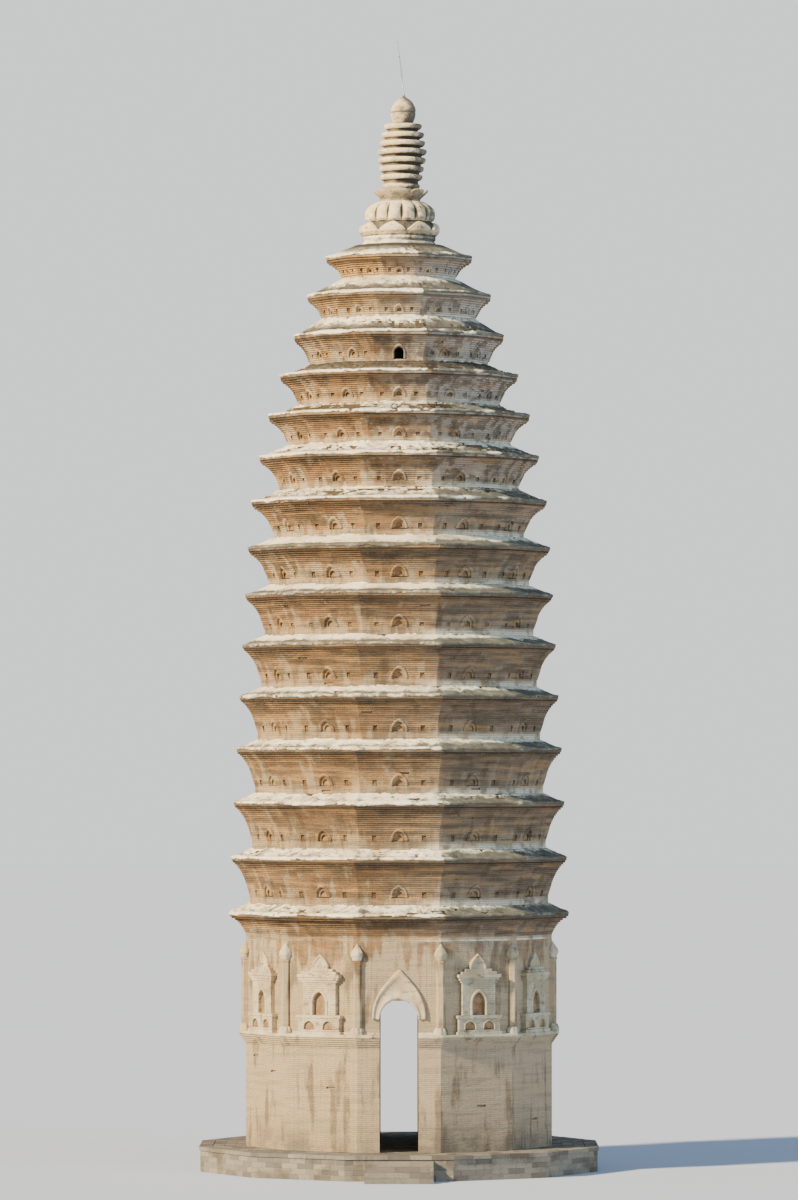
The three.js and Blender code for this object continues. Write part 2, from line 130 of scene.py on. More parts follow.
class Build:
    """Gathers the faces of one piece, each with its tone, finish and shading. Each point has its
    rise up the wall, from 0 to 1 or a little more, and its grime, which also carries painted shade."""

    def __init__(self):
        self.parts = {}
        self.count = 0

    def add(self, points, faces, tone=0.5, kind=MAIN, smooth=False, rise=0.5, grime=0.3):
        points, faces = np.reshape(points, (-1, 3)), np.asarray(faces)
        added = {
            "points": points,
            "loops": (faces + self.count).ravel(),
            "sizes": np.full(len(faces), faces.shape[1]),
            "tone": np.broadcast_to(tone, len(faces)),
            "kind": np.full(len(faces), kind),
            "smooth": np.full(len(faces), smooth),
            "rise": np.broadcast_to(rise, len(points)),
            "grime": np.broadcast_to(grime, len(points)),
        }
        for key, values in added.items():
            self.parts.setdefault(key, []).append(values)
        self.count += len(points)

    def sheet(self, grid, wrap=False, keep=None, **finish):
        """A grid of points, rows by columns, as quads. Rows go up and columns go to the right."""
        grid = np.asarray(grid)
        rows, columns = grid.shape[:2]
        index = np.arange(rows * columns).reshape(rows, columns)
        if wrap:
            index = np.hstack([index, index[:, :1]])
        quads = np.stack([index[:-1, :-1], index[:-1, 1:], index[1:, 1:], index[1:, :-1]], axis=-1)
        quads = quads.reshape(-1, 4)
        if keep is not None:
            quads = quads[keep.ravel()]
        self.add(grid, quads, **finish)

    def piece(self, name, finish, *nodes):
        """Makes the object, which rides on the building and stands for the named nodes."""
        part = {key: np.concatenate(values) for key, values in self.parts.items()}
        used, loops = np.unique(part["loops"], return_inverse=True)
        sizes = part["sizes"]
        mesh = bpy.data.meshes.new(name)
        mesh.vertices.add(len(used))
        mesh.vertices.foreach_set("co", part["points"][used].ravel())
        mesh.loops.add(len(loops))
        mesh.loops.foreach_set("vertex_index", loops)
        mesh.polygons.add(len(sizes))
        mesh.polygons.foreach_set("loop_start", np.cumsum(sizes) - sizes)
        mesh.polygons.foreach_set("material_index", part["kind"])
        mesh.polygons.foreach_set("use_smooth", part["smooth"])
        mesh.update(calc_edges=True)
        layers = {"tone": part["tone"], "rise": part["rise"][used], "grime": part["grime"][used]}
        for key, values in layers.items():
            domain = "FACE" if key == "tone" else "POINT"
            mesh.attributes.new(key, "FLOAT", domain).data.foreach_set("value", values)
        slot, materials = FINISHES[finish]
        for material in materials:
            mesh.materials.append(material)
        made = bpy.data.objects.new(name, mesh)
        bpy.context.collection.objects.link(made)
        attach(made, "root")
        if nodes:
            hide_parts(*nodes)


def fractal(points, scale, octaves=3):
    """Smooth noise, from about -1 to 1, at each point."""
    flat = np.reshape(points, (-1, 3)) * scale
    values = [noise.fractal(Vector(p), 1.0, 2.0, octaves) for p in flat]
    return np.reshape(values, np.shape(points)[:-1])


def smoothstep(low, high, value):
    t = np.clip((value - low) / (high - low), 0, 1)
    return t * t * (3 - 2 * t)


# Brickwork

BOX_QUADS = np.array([[0, 1, 3, 2], [2, 3, 7, 6], [4, 5, 1, 0], [4, 0, 2, 6], [1, 5, 7, 3]])
POCKET_QUADS = [[4, 5, 7, 6], [0, 1, 5, 4], [6, 7, 3, 2], [0, 4, 6, 2], [5, 1, 3, 7]]


def boxes(build, rows, wear=0.003, tone=None, rise=0.5):
    """Bricks or slabs, one for each row of facet, left, right, inner left, inner right,
    outer, inner, bottom and top. Their backs are left open."""
    facet, left, right, left_in, right_in, outer, inner, low, high = np.array(rows, float).T
    count = len(facet)
    s = np.stack([left, right, left, right, left_in, right_in, left_in, right_in], axis=1)
    a = np.stack([outer] * 4 + [inner] * 4, axis=1)
    z = np.stack([low, low, high, high] * 2, axis=1)
    a[:, :4] -= np.abs(rng.normal(0, wear, (count, 4)))
    z[:, :4] += rng.normal(0, wear / 2, (count, 4))
    points = on_facet(facet[:, None], s, a, np.maximum(z, 0))
    quads = (BOX_QUADS + 8 * np.arange(count)[:, None, None]).reshape(-1, 4)
    tones = rng.random(count) if tone is None else np.full(count, tone)
    build.add(points, quads, np.repeat(tones, 5), rise=np.repeat(np.broadcast_to(rise, count), 8))


def slab(facet, left, right, outer, inner, low, high):
    """A row for boxes, of a slab that is as wide at its back as at its face."""
    return facet, left, right, left, right, outer, inner, low, high


def pocket(build, facet, left, right, outer, inner, low, high, **finish):
    """An open-fronted recess: its back, its two sides, its floor and its ceiling."""
    points = on_facet(facet, [left, right] * 4, [outer] * 4 + [inner] * 4, [low, low, high, high] * 2)
    build.add(points, POCKET_QUADS, **finish)


def minus(span, gaps):
    """What is left of a span along a wall, when gaps are taken out of it."""
    spans = [span]
    for low, high in gaps:
        parts = [part for left, right in spans
                 for part in ((left, min(right, low)), (max(left, high), right))]
        spans = [part for part in parts if part[1] - part[0] > JOINT]
    return spans


def steps(low, high, pitch=COURSE):
    """Course levels between two heights."""
    return np.linspace(low, high, max(1, round((high - low) / pitch)) + 1)


def bond(start, stop, row, length, shortest, shift=0.0):
    """The bricks or slabs of a row between two ends, where every second row is set off by half
    a length and no end piece is shorter than the shortest."""
    cut = (row % 2) * length / 2 + shift
    first = math.ceil((start + shortest - cut) / length)
    last = math.floor((stop - shortest - cut) / length)
    return pairs([start, *(cut + length * np.arange(first, last + 1)), stop])


def wall(build, facets, levels, reach, gaps=None, ends=(None, None), length=BRICK_LENGTH, base=None):
    """Brick courses on the facets. The reach is each course's apothem, negative where the wall
    faces inwards. An end of None is the facet's corner, and a number is a cut across the wall.
    The rise is 0 at the base's first height and 1 at its second."""
    reach = np.broadcast_to(reach, len(levels) - 1).astype(float)
    near = np.concatenate([reach[:1], reach, reach[-1:]])
    inner = np.minimum(np.minimum(near[:-2], near[2:]), reach) - BRICK_ROOT
    core = reach - MORTAR_SETBACK
    base = base or (levels[0], levels[-1])
    rows, rises, sheets = [], [], []

    def edges(a):
        corner = abs(a) * HALF_TAN
        return (-corner if ends[0] is None else ends[0], corner if ends[1] is None else ends[1])

    for facet in facets:
        holes_below = []
        for j, (low, high) in enumerate(pairs(levels)):
            middle = (low + high) / 2
            rise = (middle - base[0]) / (base[1] - base[0])
            left, right = edges(reach[j])
            holes = list(gaps(facet, middle)) if gaps else []
            shift = rng.uniform(-BOND_SHIFT, BOND_SHIFT)
            for start, stop in minus((left, right), holes):
                for s0, s1 in bond(start, stop, j, length, SHORTEST_BRICK, shift):
                    corner_left = ends[0] is None and s0 == left
                    corner_right = ends[1] is None and s1 == right
                    s0 += 0 if corner_left else JOINT / 2
                    s1 -= 0 if corner_right else JOINT / 2
                    if rng.random() < LOST_SHARE and not (corner_left or corner_right):
                        holes.append((s0, s1))
                        pocket(build, facet, s0, s1, core[j], reach[j] - LOST_DEPTH, low, high,
                               kind=MORTAR, rise=rise)
                        continue
                    corner = abs(inner[j]) * HALF_TAN
                    rows.append((facet, s0, s1, -corner if corner_left else s0,
                                 corner if corner_right else s1, reach[j], inner[j],
                                 low + JOINT / 2, high - JOINT / 2))
                    rises.append(rise)
            span = edges(core[j])
            for start, stop in minus(span, holes):
                sheets.append((facet, start, stop, core[j], core[j], low, high, rise))
            if j and abs(core[j] - core[j - 1]) > 0.001:
                for start, stop in minus(span, holes_below + holes):
                    sheets.append((facet, start, stop, core[j - 1], core[j], low, low, rise))
            holes_below = holes
    boxes(build, rows, rise=rises)
    facet, s0, s1, a0, a1, z0, z1, rise = np.array(sheets).T
    corners = [np.stack(values, axis=1) for values in ((s0, s1, s1, s0), (a0, a0, a1, a1), (z0, z0, z1, z1))]
    quads = np.arange(4 * len(facet)).reshape(-1, 4)
    build.add(on_facet(facet[:, None], *corners), quads, kind=MORTAR, rise=np.repeat(rise, 4))


# Arches and windows on a wall


def mirrored(s, z):
    """A whole arch from its right half: from its left foot over its tip to its right foot."""
    return np.array([np.concatenate([-s[:-1], s[::-1]]), np.concatenate([z[:-1], z[::-1]])])


class Arch:
    """A niche or window under a pointed arch. A field of brick and then a band go round it."""

    def __init__(self, foot, half_width, spring, height, band, relief=0.03, field=0.0):
        self.foot, self.half_width, self.spring, self.height = foot, half_width, spring, height
        self.band, self.relief, self.field = band, relief, field

    def half_line(self, wide):
        """Half of a line so far round the arch, from its right foot up to its tip, and its height."""
        u = np.linspace(0, 1, 9)
        half_width, height = self.half_width + wide, self.height + 1.2 * wide
        z = self.spring + (height - self.spring) * (0.75 * np.sqrt(1 - (1 - u) ** 2) + 0.25 * u)
        return np.concatenate([[half_width], half_width * (1 - u)]), np.concatenate([[0], z]), height

    def line(self, wide):
        s, z, _ = self.half_line(wide)
        return mirrored(s, z + self.foot)

    def gap(self, z, centre=0.0):
        """What the courses leave free for the arch at a height."""
        s, heights, height = self.half_line(self.field + self.band / 2)
        if not 0 <= z - self.foot < height:
            return []
        half = np.interp(z - self.foot, heights, s)
        return [(centre - half, centre + half)]

    def place(self, bricks, bands, facet, face_at, back, rise=0.4, closed=True, centre=0.0):
        """Sets the arch into a wall whose face is at face_at(z)."""
        inner, middle, outer = (self.line(wide) for wide in (0, self.field, self.field + self.band))

        def at(line, out):
            return on_facet(facet, line[0] + centre, face_at(line[1]) + out, line[1])

        def behind(line):
            return on_facet(facet, line[0] + centre, back, line[1])

        ragged = 0.008 * fractal(at(outer, 0), 9)
        rows = [
            at(outer, -0.03),
            at(outer + [np.sign(outer[0]) * ragged, ragged], 0.5 * self.relief),
            at((middle + outer) / 2, self.relief),
            at(middle, 0.6 * self.relief),
            at(middle, -0.05),
        ]
        bands.sheet(rows, kind=TRIM, smooth=True, tone=0.4, rise=rise, grime=0.2)
        if self.field:
            bricks.sheet([at(middle, -0.035), at(inner, -0.035)], rise=rise)
        bricks.sheet([at(inner, -0.04), behind(inner)], tone=0.35, rise=rise)
        feet = inner[:, [0, -1]]
        bricks.sheet([at(feet, 0), behind(feet)], tone=0.4, rise=rise)
        if closed:
            half = inner.shape[1] // 2
            halves = [behind(inner[:, : half + 1]), behind(inner[:, half:][:, ::-1])]
            bricks.sheet(np.stack(halves, axis=1), kind=DARK, rise=rise)


# Tiers


def outline_of(node):
    """The profile of a twelve-sided solid at one of its back corners, as heights and apothems."""
    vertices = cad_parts[node].data.vertices
    points = np.empty(3 * len(vertices))
    vertices.foreach_get("co", points)
    x, y, z = points.reshape(-1, 3).T
    at_corner = np.abs(np.arctan2(x, -y) - BACK_CORNER) < 0.002
    profile = np.stack([z, np.hypot(x, y) * math.cos(SECTOR / 2)], axis=1)[at_corner]
    return np.unique(profile.round(4), axis=0).T


class Tier:
    """One tier's levels and reaches, read from its solid, and its blind arches and windows."""

    def __init__(self, number):
        self.number = number
        self.node = f"tier_{number:02d}"
        self.z, self.a = outline_of(self.node)
        widest = int(np.argmax(self.a))
        self.foot, self.lip, self.lip_top, self.top = self.z[[0, widest, widest + 1, -1]]
        self.wall, self.reach = self.a[[0, widest]]
        height = self.lip - self.foot
        size = min(1.0, height / 1.2)
        sill = self.foot + 0.2 * height
        self.arch = Arch(sill, half_width=0.125 * size, spring=0.08 * size, height=0.22 * size,
                         band=0.085 * size, relief=0.04, field=0.09 * size)
        middle, half = 0.62 * self.wall * HALF_TAN, 0.07 * size**0.5
        self.window_spans = [(centre - half, centre + half) for centre in (-middle, middle)]
        self.window_low, self.window_high = sill, sill + 0.18 * size**0.5
        self.opening = None
        if number == WINDOW_TIER:
            self.opening = Arch(self.foot + 0.08, half_width=0.16, spring=0.24, height=0.40, band=0.08)

    def face_at(self, z):
        return np.interp(z, self.z, self.a)

    def gaps(self, facet, z):
        """What the courses leave free for the arches and windows."""
        if self.number == 1:
            return []
        if self.opening and facet == 0:
            return self.opening.gap(z)
        found = self.arch.gap(z)
        if self.window_low <= z <= self.window_high:
            found += self.window_spans
        return found

    def blind_windows(self, build, facet, levels):
        """Two dark slots with three bars in each."""
        inside = [z for z in levels if self.window_low - COURSE / 2 <= z <= self.window_high + COURSE / 2]
        low, high = inside[0], inside[-1]
        face = self.face_at(low)
        for left, right in self.window_spans:
            pocket(build, facet, left, right, face, face - 0.035, low, high, kind=DARK)
            bars = [slab(facet, s - 0.012, s + 0.012, face - 0.008, face - 0.03, low, high)
                    for s in (left + right) / 2 + np.array([-0.04, 0, 0.04])]
            boxes(build, bars, wear=0.002, tone=0.45, rise=0.3)


tiers = [Tier(number) for number in range(1, TIERS + 1)]


def shaft_lining(build, tier, below):
    """The eight-sided shaft inside a tier, and the shelf where it gets narrower."""
    turn = (np.arange(SHAFT_SIDES) + 0.5) * math.tau / SHAFT_SIDES
    radii = SHAFT_SHARE * np.array([below, tier.wall, tier.wall]) / math.cos(math.pi / SHAFT_SIDES)
    grid = [np.stack([r * np.sin(turn), -r * np.cos(turn), np.full(SHAFT_SIDES, z)], axis=1)[::-1]
            for r, z in zip(radii, (tier.foot, tier.foot, tier.top))]
    build.sheet(grid, wrap=True, tone=0.4)


def plaster_cap(build, tier, above):
    """Plaster over the eave's edge, its roof and the foot of the next wall, with ragged holes."""
    skirt = 0.05 if tier.number < TIERS else 0.01
    left, edge_grime, low_grime, head_grime = ROOFS[tier.number - 1]
    path = np.array([
        (tier.reach - 0.03, 0.4 * tier.lip + 0.6 * tier.lip_top),
        (tier.reach, 0.35 * tier.lip + 0.65 * tier.lip_top),
        (tier.reach, tier.lip_top),
        *[(a, z) for z, a in zip(tier.z, tier.a) if z > tier.lip_top + 0.001],
        (above, tier.top + skirt),
    ])

    # The rows follow the path, t from 0 to 1 along it
    legs = np.hypot(*np.diff(path, axis=0).T)
    along = np.concatenate([[0], np.cumsum(legs)])
    marks = [0]
    for start, leg in zip(along, legs):
        count = max(1, round(leg / CAP_ROW))
        marks += list(start + leg * np.arange(1, count + 1) / count)
    marks = np.array(marks)
    a, z = (np.interp(marks, along, values) for values in path.T)
    slope = np.gradient(np.stack([a, z], axis=1), marks, axis=0)
    slope /= np.hypot(*slope.T)[:, None]
    out_a, out_z = slope[:, 1:], -slope[:, :1]
    t = marks / marks[-1]
    edge, head = (along[1] + legs[1] + 0.1) / marks[-1], (along[-2] - 0.10) / marks[-1]
    middle = (edge + head) / 2

    facets = np.repeat(np.arange(SIDES), CAP_COLUMNS)
    share = np.tile(np.arange(CAP_COLUMNS) / CAP_COLUMNS * 2 - 1, SIDES)
    a, z = a[:, None], z[:, None]
    points = on_facet(facets, share * a * HALF_TAN, a, z)

    # The mask is 1 where plaster is left and 0 where it has gone
    wanted = np.interp(t, [0, 0.03, edge, edge + 0.08, head - 0.05, head + 0.05, 0.93, 1],
                       [0.45, 0.9, 0.85, left, left, 0.85, 0.6, 0.15])
    ragged = 0.55 * fractal(points * [1, 1, 2.5], 1.1, 2) + 0.5 * fractal(points * [1, 1, 1.6], 5.5)
    mask = smoothstep(-0.06, 0.06, wanted[:, None] - 0.5 + ragged)
    covered = (mask[:-1] > 0.02) | (mask[1:] > 0.02)
    covered |= np.roll(covered, -1, axis=1)

    swell = fractal(points, 0.9)
    lift = CAP_DIP + (CAP_THICKNESS - CAP_DIP) * mask + 0.008 * fractal(points, 6) + 0.02 * mask * swell
    sag = 0.04 * (t < edge)[:, None] * np.clip(swell, -0.3, 1)
    a = a + lift * out_a
    moved = on_facet(facets, share * a * HALF_TAN, a, z + lift * out_z - sag)

    middle_grime = (low_grime + head_grime) / 2
    grime = np.interp(t, [0, 0.05, edge, edge + 0.1, middle, head, 0.95, 1],
                      [0.7, edge_grime, edge_grime, low_grime, middle_grime, head_grime, head_grime, 0.6])
    # Painted shade: the roofs on the right-hand side, away from the key light, get more grime
    shaded_side = ROOF_PAINTED_SHADE * np.clip(np.sin(facets * SECTOR), 0, 1) * (1 + fractal(points, 1.6, 2))
    shaded_side *= np.interp(t, [edge, middle, head], [1.6, 0.9, 0.2])[:, None]
    grime = np.minimum(grime[:, None] + shaded_side, np.maximum(grime, MOST_PAINTED_SHADE)[:, None])
    build.sheet(moved, wrap=True, keep=covered, smooth=True, grime=grime.ravel())


def make_tier(tier, below, above):
    """One tier: low wall, flared courses, lip, stepped roof, blind arches and its plaster."""
    bricks, plaster = Build(), Build()
    levels = steps(tier.foot, tier.lip)
    lip_levels = steps(tier.lip, tier.lip_top)[1:]
    roof_levels = steps(tier.lip_top, tier.top, ROOF_COURSE)[1:]
    flare = tier.face_at((levels[:-1] + levels[1:]) / 2)
    reach = [*flare, *np.full(len(lip_levels), tier.reach), *tier.face_at(roof_levels)]
    every_level = [*levels, *lip_levels, *roof_levels]
    wall(bricks, range(SIDES), every_level, reach, tier.gaps, base=(tier.foot, tier.lip))
    for facet in range(SIDES) if tier.number > 1 else ():
        if tier.opening and facet == 0:
            tier.opening.place(bricks, plaster, facet, tier.face_at, SHAFT_SHARE * tier.wall, closed=False)
            continue
        back = tier.face_at(tier.arch.foot) - 0.06
        tier.arch.place(bricks, plaster, facet, tier.face_at, back, rise=0.25)
        tier.blind_windows(bricks, facet, levels)
    shaft_lining(bricks, tier, below)
    if tier is tiers[-1]:
        ledge = [ring(tier.a[-1], tier.top), ring(LEDGE_INSIDE, tier.top)]
        bricks.sheet(ledge, wrap=True, tone=0.2, rise=2.0)
    plaster_cap(plaster, tier, above)
    nodes = [tier.node, "window_wall"] if tier.opening else [tier.node]
    bricks.piece(f"{tier.node}_brickwork", "brick", *nodes)
    plaster.piece(f"{tier.node}_plaster", "lime")


# Turned and carved forms


def turned(build, centre, r, z, columns, shape=None, chips=0.0, lean=0.0, grime=0.12,
           shaded_side=COLUMN_PAINTED_SHADE, smooth=True, **finish):
    """Turns a profile about an upright axis. The shape changes radii and heights by their
    bearing, which is 0 at the front and grows anticlockwise, and chips wear the surface. Grime is
    given once or for each point of the profile; painted shade raises it where the shape is cut back and on
    the right."""
    bearing = np.arange(columns) * math.tau / columns
    rows = len(r)
    r, z = (np.broadcast_to(np.reshape(part, (rows, -1)), (rows, columns)) for part in (r, z))
    full = r
    if shape:
        r, z = shape(bearing[None, :], r, z)
    # Painted shade: the grime rises where the shape is cut back, so that its hollows look shaded
    grime = np.broadcast_to(grime, rows)[:, None] + smoothstep(0.03, 0.12, full - r)
    # Painted shade on the right-hand side of the form, away from the key light, and a little painted light
    # on its left
    grime = np.minimum(grime + shaded_side * np.clip(np.sin(bearing), -0.4, 1), np.maximum(grime, MOST_PAINTED_SHADE))
    if chips:
        where = np.stack([r * np.sin(bearing), -r * np.cos(bearing), z], axis=-1)
        r = r - chips * np.clip(fractal(where, 4.5), 0, 1) * (r > 0.05)
    x = centre[0] + r * np.sin(bearing) + lean * (z - tiers[-1].top)
    y = centre[1] - r * np.cos(bearing)
    build.sheet(np.stack([x, y, z], axis=-1), wrap=True, grime=grime.ravel(), smooth=smooth, **finish)


def lobe(bearing, count, offset=0.0):
    """Where a bearing lies on the nearest of a ring of petals, from -1 to 1 across it."""
    return ((bearing / math.tau * count + offset + 0.5) % 1.0 - 0.5) * 2


def flat_sided(count):
    """A shape with flat sides, whose apothem is the profile's radius."""
    return lambda bearing, r, z: (r / np.cos(lobe(bearing, count) * math.pi / count), z)


def flame(half_width, foot, height, points=12):
    """A flame-shaped arch, from its left foot over its tip to its right foot."""
    u = np.linspace(0, 1, points)[:, None]
    handles = np.array([(1, 0), (1.02, 0.42), (0.62, 0.66), (0, 1)]) * [half_width, height] + [0, foot]
    weights = np.hstack([(1 - u) ** 3, 3 * u * (1 - u) ** 2, 3 * u * u * (1 - u), u**3])
    return mirrored(*(weights @ handles).T)


# First storey

PLATFORM_TOP = 0.85
LOWER_TOP = 4.35
LEDGE = 4.80
STOREY_TOP = tiers[0].foot
WALL = tiers[0].wall
CHAMBER = 2.743
DOOR_HALF = 0.65
DOOR_SPRING = 5.35
ARCH_BEARING = 0.28
HOOD_HALF = 0.9
HOOD_HEIGHT = 1.7
WAIST_REACH = 0.24
WAIST_CORBEL = 0.35
COLUMN_HEAD = 7.33
HIDDEN_HALF = 0.6
HIDDEN_FROM, HIDDEN_TO = LEDGE + 0.05, LEDGE + 2.0

# Over this storey the walls' rise goes from 0 to a quarter
STOREY = (PLATFORM_TOP, PLATFORM_TOP + 4 * (STOREY_TOP - PLATFORM_TOP))


def shrine_gaps(facet, z):
    """Nothing is laid where a shrine's body hides the wall."""
    if facet % SIDES in DOOR_FACETS or not HIDDEN_FROM < z < HIDDEN_TO:
        return []
    return [(-HIDDEN_HALF, HIDDEN_HALF)]


def quarter_walls(build, q, levels, reach, cut):
    """One quarter's wall from its first doorway to its next, outside and then in the chamber."""
    ends = [(cut, None), (None, None), (None, None), (None, -cut)]
    for k in range(4):
        wall(build, [3 * q + k], levels, reach, shrine_gaps, ends[k], base=STOREY)
    for k in range(4):
        wall(build, [3 * q + 6 + k], levels, -CHAMBER, None, ends[3 - k], CHAMBER_LENGTH, STOREY)


def jambs(build, q, levels):
    """The two doorway sides of a quarter."""
    for facet, ends in ((3 * q - 3, (CHAMBER, WALL)), (3 * q + 6, (-WALL, -CHAMBER))):
        wall(build, [facet % SIDES], levels, -DOOR_HALF, ends=ends, base=STOREY)


def make_lower_wall(q, quarter):
    build = Build()
    levels = steps(PLATFORM_TOP, LOWER_TOP)
    quarter_walls(build, q, levels, WALL, DOOR_HALF)
    jambs(build, q, levels)
    build.piece(f"lower_wall_{quarter}_brickwork", "limed", f"lower_wall_{quarter}")


def make_upper_wall(q, quarter):
    build = Build()
    corbel = steps(LOWER_TOP, LOWER_TOP + WAIST_CORBEL, 0.07)
    lip = steps(LOWER_TOP + WAIST_CORBEL, LEDGE, 0.1)[1:]
    levels = np.concatenate([corbel, lip, steps(LEDGE, DOOR_SPRING)[1:]])
    middle = (corbel[:-1] + corbel[1:]) / 2 - LOWER_TOP
    reach = np.full(len(levels) - 1, WALL)
    reach[: len(middle)] += WAIST_REACH * middle / WAIST_CORBEL
    reach[len(middle)] += WAIST_REACH
    quarter_walls(build, q, levels, reach, DOOR_HALF)
    quarter_walls(build, q, steps(DOOR_SPRING, STOREY_TOP), WALL, DOOR_HALF + ARCH_BEARING)
    jambs(build, q, levels)
    for n in range(3):
        column(build, 3 * q + n)
    build.piece(f"upper_wall_{quarter}_brickwork", "limed", f"upper_wall_{quarter}")


def column(build, n):
    """A six-sided corner column on a lotus foot, with a bud for its head."""
    centre = ring(WALL, 0)[n]

    def petals(bearing, r, z):
        across = lobe(bearing, 8)
        share = np.clip((z - LEDGE) / 0.26, 0, 1)
        leaf = share < 0.95 - 0.5 * np.abs(across) ** 1.6
        return np.where(leaf, r + 0.02 * (1 - across**2), r - 0.02), z

    def bud(bearing, r, z):
        return r * (1 - 0.09 * np.abs(lobe(bearing, 6)) ** 2.5), z

    up = np.linspace(-0.01, 0.26, 11)
    r = np.interp(up, [0, 0.12, 0.2, 0.26], [0.225, 0.22, 0.19, 0.16])
    turned(build, centre, r, LEDGE + up, 48, petals, kind=TRIM)

    # The shaft and the two flat steps of its capital, by their corners
    z = [*np.linspace(LEDGE + 0.24, COLUMN_HEAD - 0.1, 16), *(COLUMN_HEAD - np.array([0.09, 0.03, 0.02]))]
    r = 0.99 * math.cos(math.pi / 6) * np.array([0.163] * 16 + [0.185, 0.185, 0.16])
    turned(build, centre, r, z, 24, flat_sided(6), chips=0.012, smooth=False)

    t = np.linspace(0, 1, 14)
    r = np.interp(t, [0, 0.06, 0.12, 0.28, 0.45, 0.62, 0.8, 0.93, 1],
                  [0.15, 0.19, 0.17, 0.238, 0.225, 0.17, 0.09, 0.035, 0.004])
    turned(build, centre, r, COLUMN_HEAD - 0.02 + 0.58 * t, 36, bud, kind=TRIM)


def make_waist_plaster():
    """A worn skin of plaster on the ledge, broken at the doorways."""
    build = Build()
    path = np.array([
        (WAIST_REACH - 0.05, -0.105), (WAIST_REACH + 0.006, -0.1), (WAIST_REACH + 0.006, -0.05),
        (WAIST_REACH, 0.008), (0.16, 0.014), (0.08, 0.02), (0.02, 0.03), (0.004, 0.09),
    ]) + [WALL, LEDGE]
    wear = 0.012 * np.array([1, 1, 1, 0.6, 0.6, 0.6, 1, 1])[:, None]
    a, z = path[:, :1], path[:, 1:]
    half = a * HALF_TAN
    for facet in range(SIDES):
        spans = [(-half, half, 25)]
        if facet in DOOR_FACETS:
            spans = [(-half, -DOOR_HALF, 10), (DOOR_HALF, half, 10)]
        for left, right, columns in spans:
            s = left + np.linspace(0, 1, columns) * (right - left)
            worn = wear * fractal(on_facet(facet, s, a, z), 4)
            build.sheet(on_facet(facet, s, a + worn, z + worn), smooth=True)
    build.piece("waist_plaster", "old_lime")


def make_door_arch(facet, door):
    """The wall over a doorway, its round vault, and the flame hood round its head."""
    build = Build()
    cut = DOOR_HALF + ARCH_BEARING
    levels = steps(DOOR_SPRING, STOREY_TOP)

    def gaps(_, z):
        half = math.sqrt(max(0, DOOR_HALF**2 - (z - DOOR_SPRING) ** 2))
        return [(-half, half)] if half else []

    wall(build, [facet], levels, WALL, gaps, (-cut, cut), base=STOREY)
    wall(build, [facet + 6], levels, -CHAMBER, gaps, (-cut, cut), CHAMBER_LENGTH, STOREY)
    turn = np.linspace(0, math.pi, 29)
    round_line = np.array([-DOOR_HALF * np.cos(turn), DOOR_SPRING + DOOR_HALF * np.sin(turn)])
    depth = np.linspace(WALL, CHAMBER, 9)[:, None]
    build.sheet(on_facet(facet, round_line[0], depth, round_line[1]), tone=rng.random(8 * 28))

    # The hood's section, from the round arch outwards
    across = np.array([0, 0, 0.1, 0.16, 0.24, 0.72, 0.8, 0.92, 1, 1])[:, None]
    relief = np.array([-0.1, 0.10, 0.125, 0.125, 0.085, 0.075, 0.125, 0.13, 0.10, -0.02])[:, None]
    hood_line = flame(HOOD_HALF, DOOR_SPRING, HOOD_HEIGHT, 15)
    s, z = (inside + across * (outside - inside) for inside, outside in zip(round_line, hood_line))
    worn = 0.006 * fractal(on_facet(facet, s, WALL, z), 5)
    build.sheet(on_facet(facet, s, WALL + relief + worn, z)[::-1], smooth=True, kind=TRIM)
    build.piece(f"{door}_door_arch_masonry", "limed", f"{door}_door_arch")


# A shrine's blocks: half width, depth, bottom and top above the ledge
SHRINE_SLABS = [
    (0.86, 0.235, 0.0, 0.11), (0.86, 0.235, 0.56, 0.66),
    (0.70, 0.19, 1.76, 1.84), (0.76, 0.22, 1.84, 1.93), (0.82, 0.25, 1.93, 2.04),
    (0.68, 0.20, 2.04, 2.13), (0.52, 0.16, 2.13, 2.22),
]
SHRINE_BASE = (0.80, 0.205, 0.11, 0.56)
SHRINE_BODY = (0.64, 0.16, 0.66, 1.76)
SHRINE_ROOT = WALL - 0.02
PANELS_AT = (-0.37, 0.37)


def courses_out(build, facet, block, gaps):
    """A block of courses that stands out from the wall, with its two ends."""
    half, depth, low, high = block
    levels = steps(LEDGE + low, LEDGE + high)
    wall(build, [facet], levels, WALL + depth, gaps, (-half, half))
    ends = [slab(facet, left, left + 0.06, WALL + depth - 0.002, SHRINE_ROOT, z0 + JOINT / 2, z1 - JOINT / 2)
            for z0, z1 in pairs(levels) for left in (-half, half - 0.06)]
    boxes(build, ends, tone=0.6)


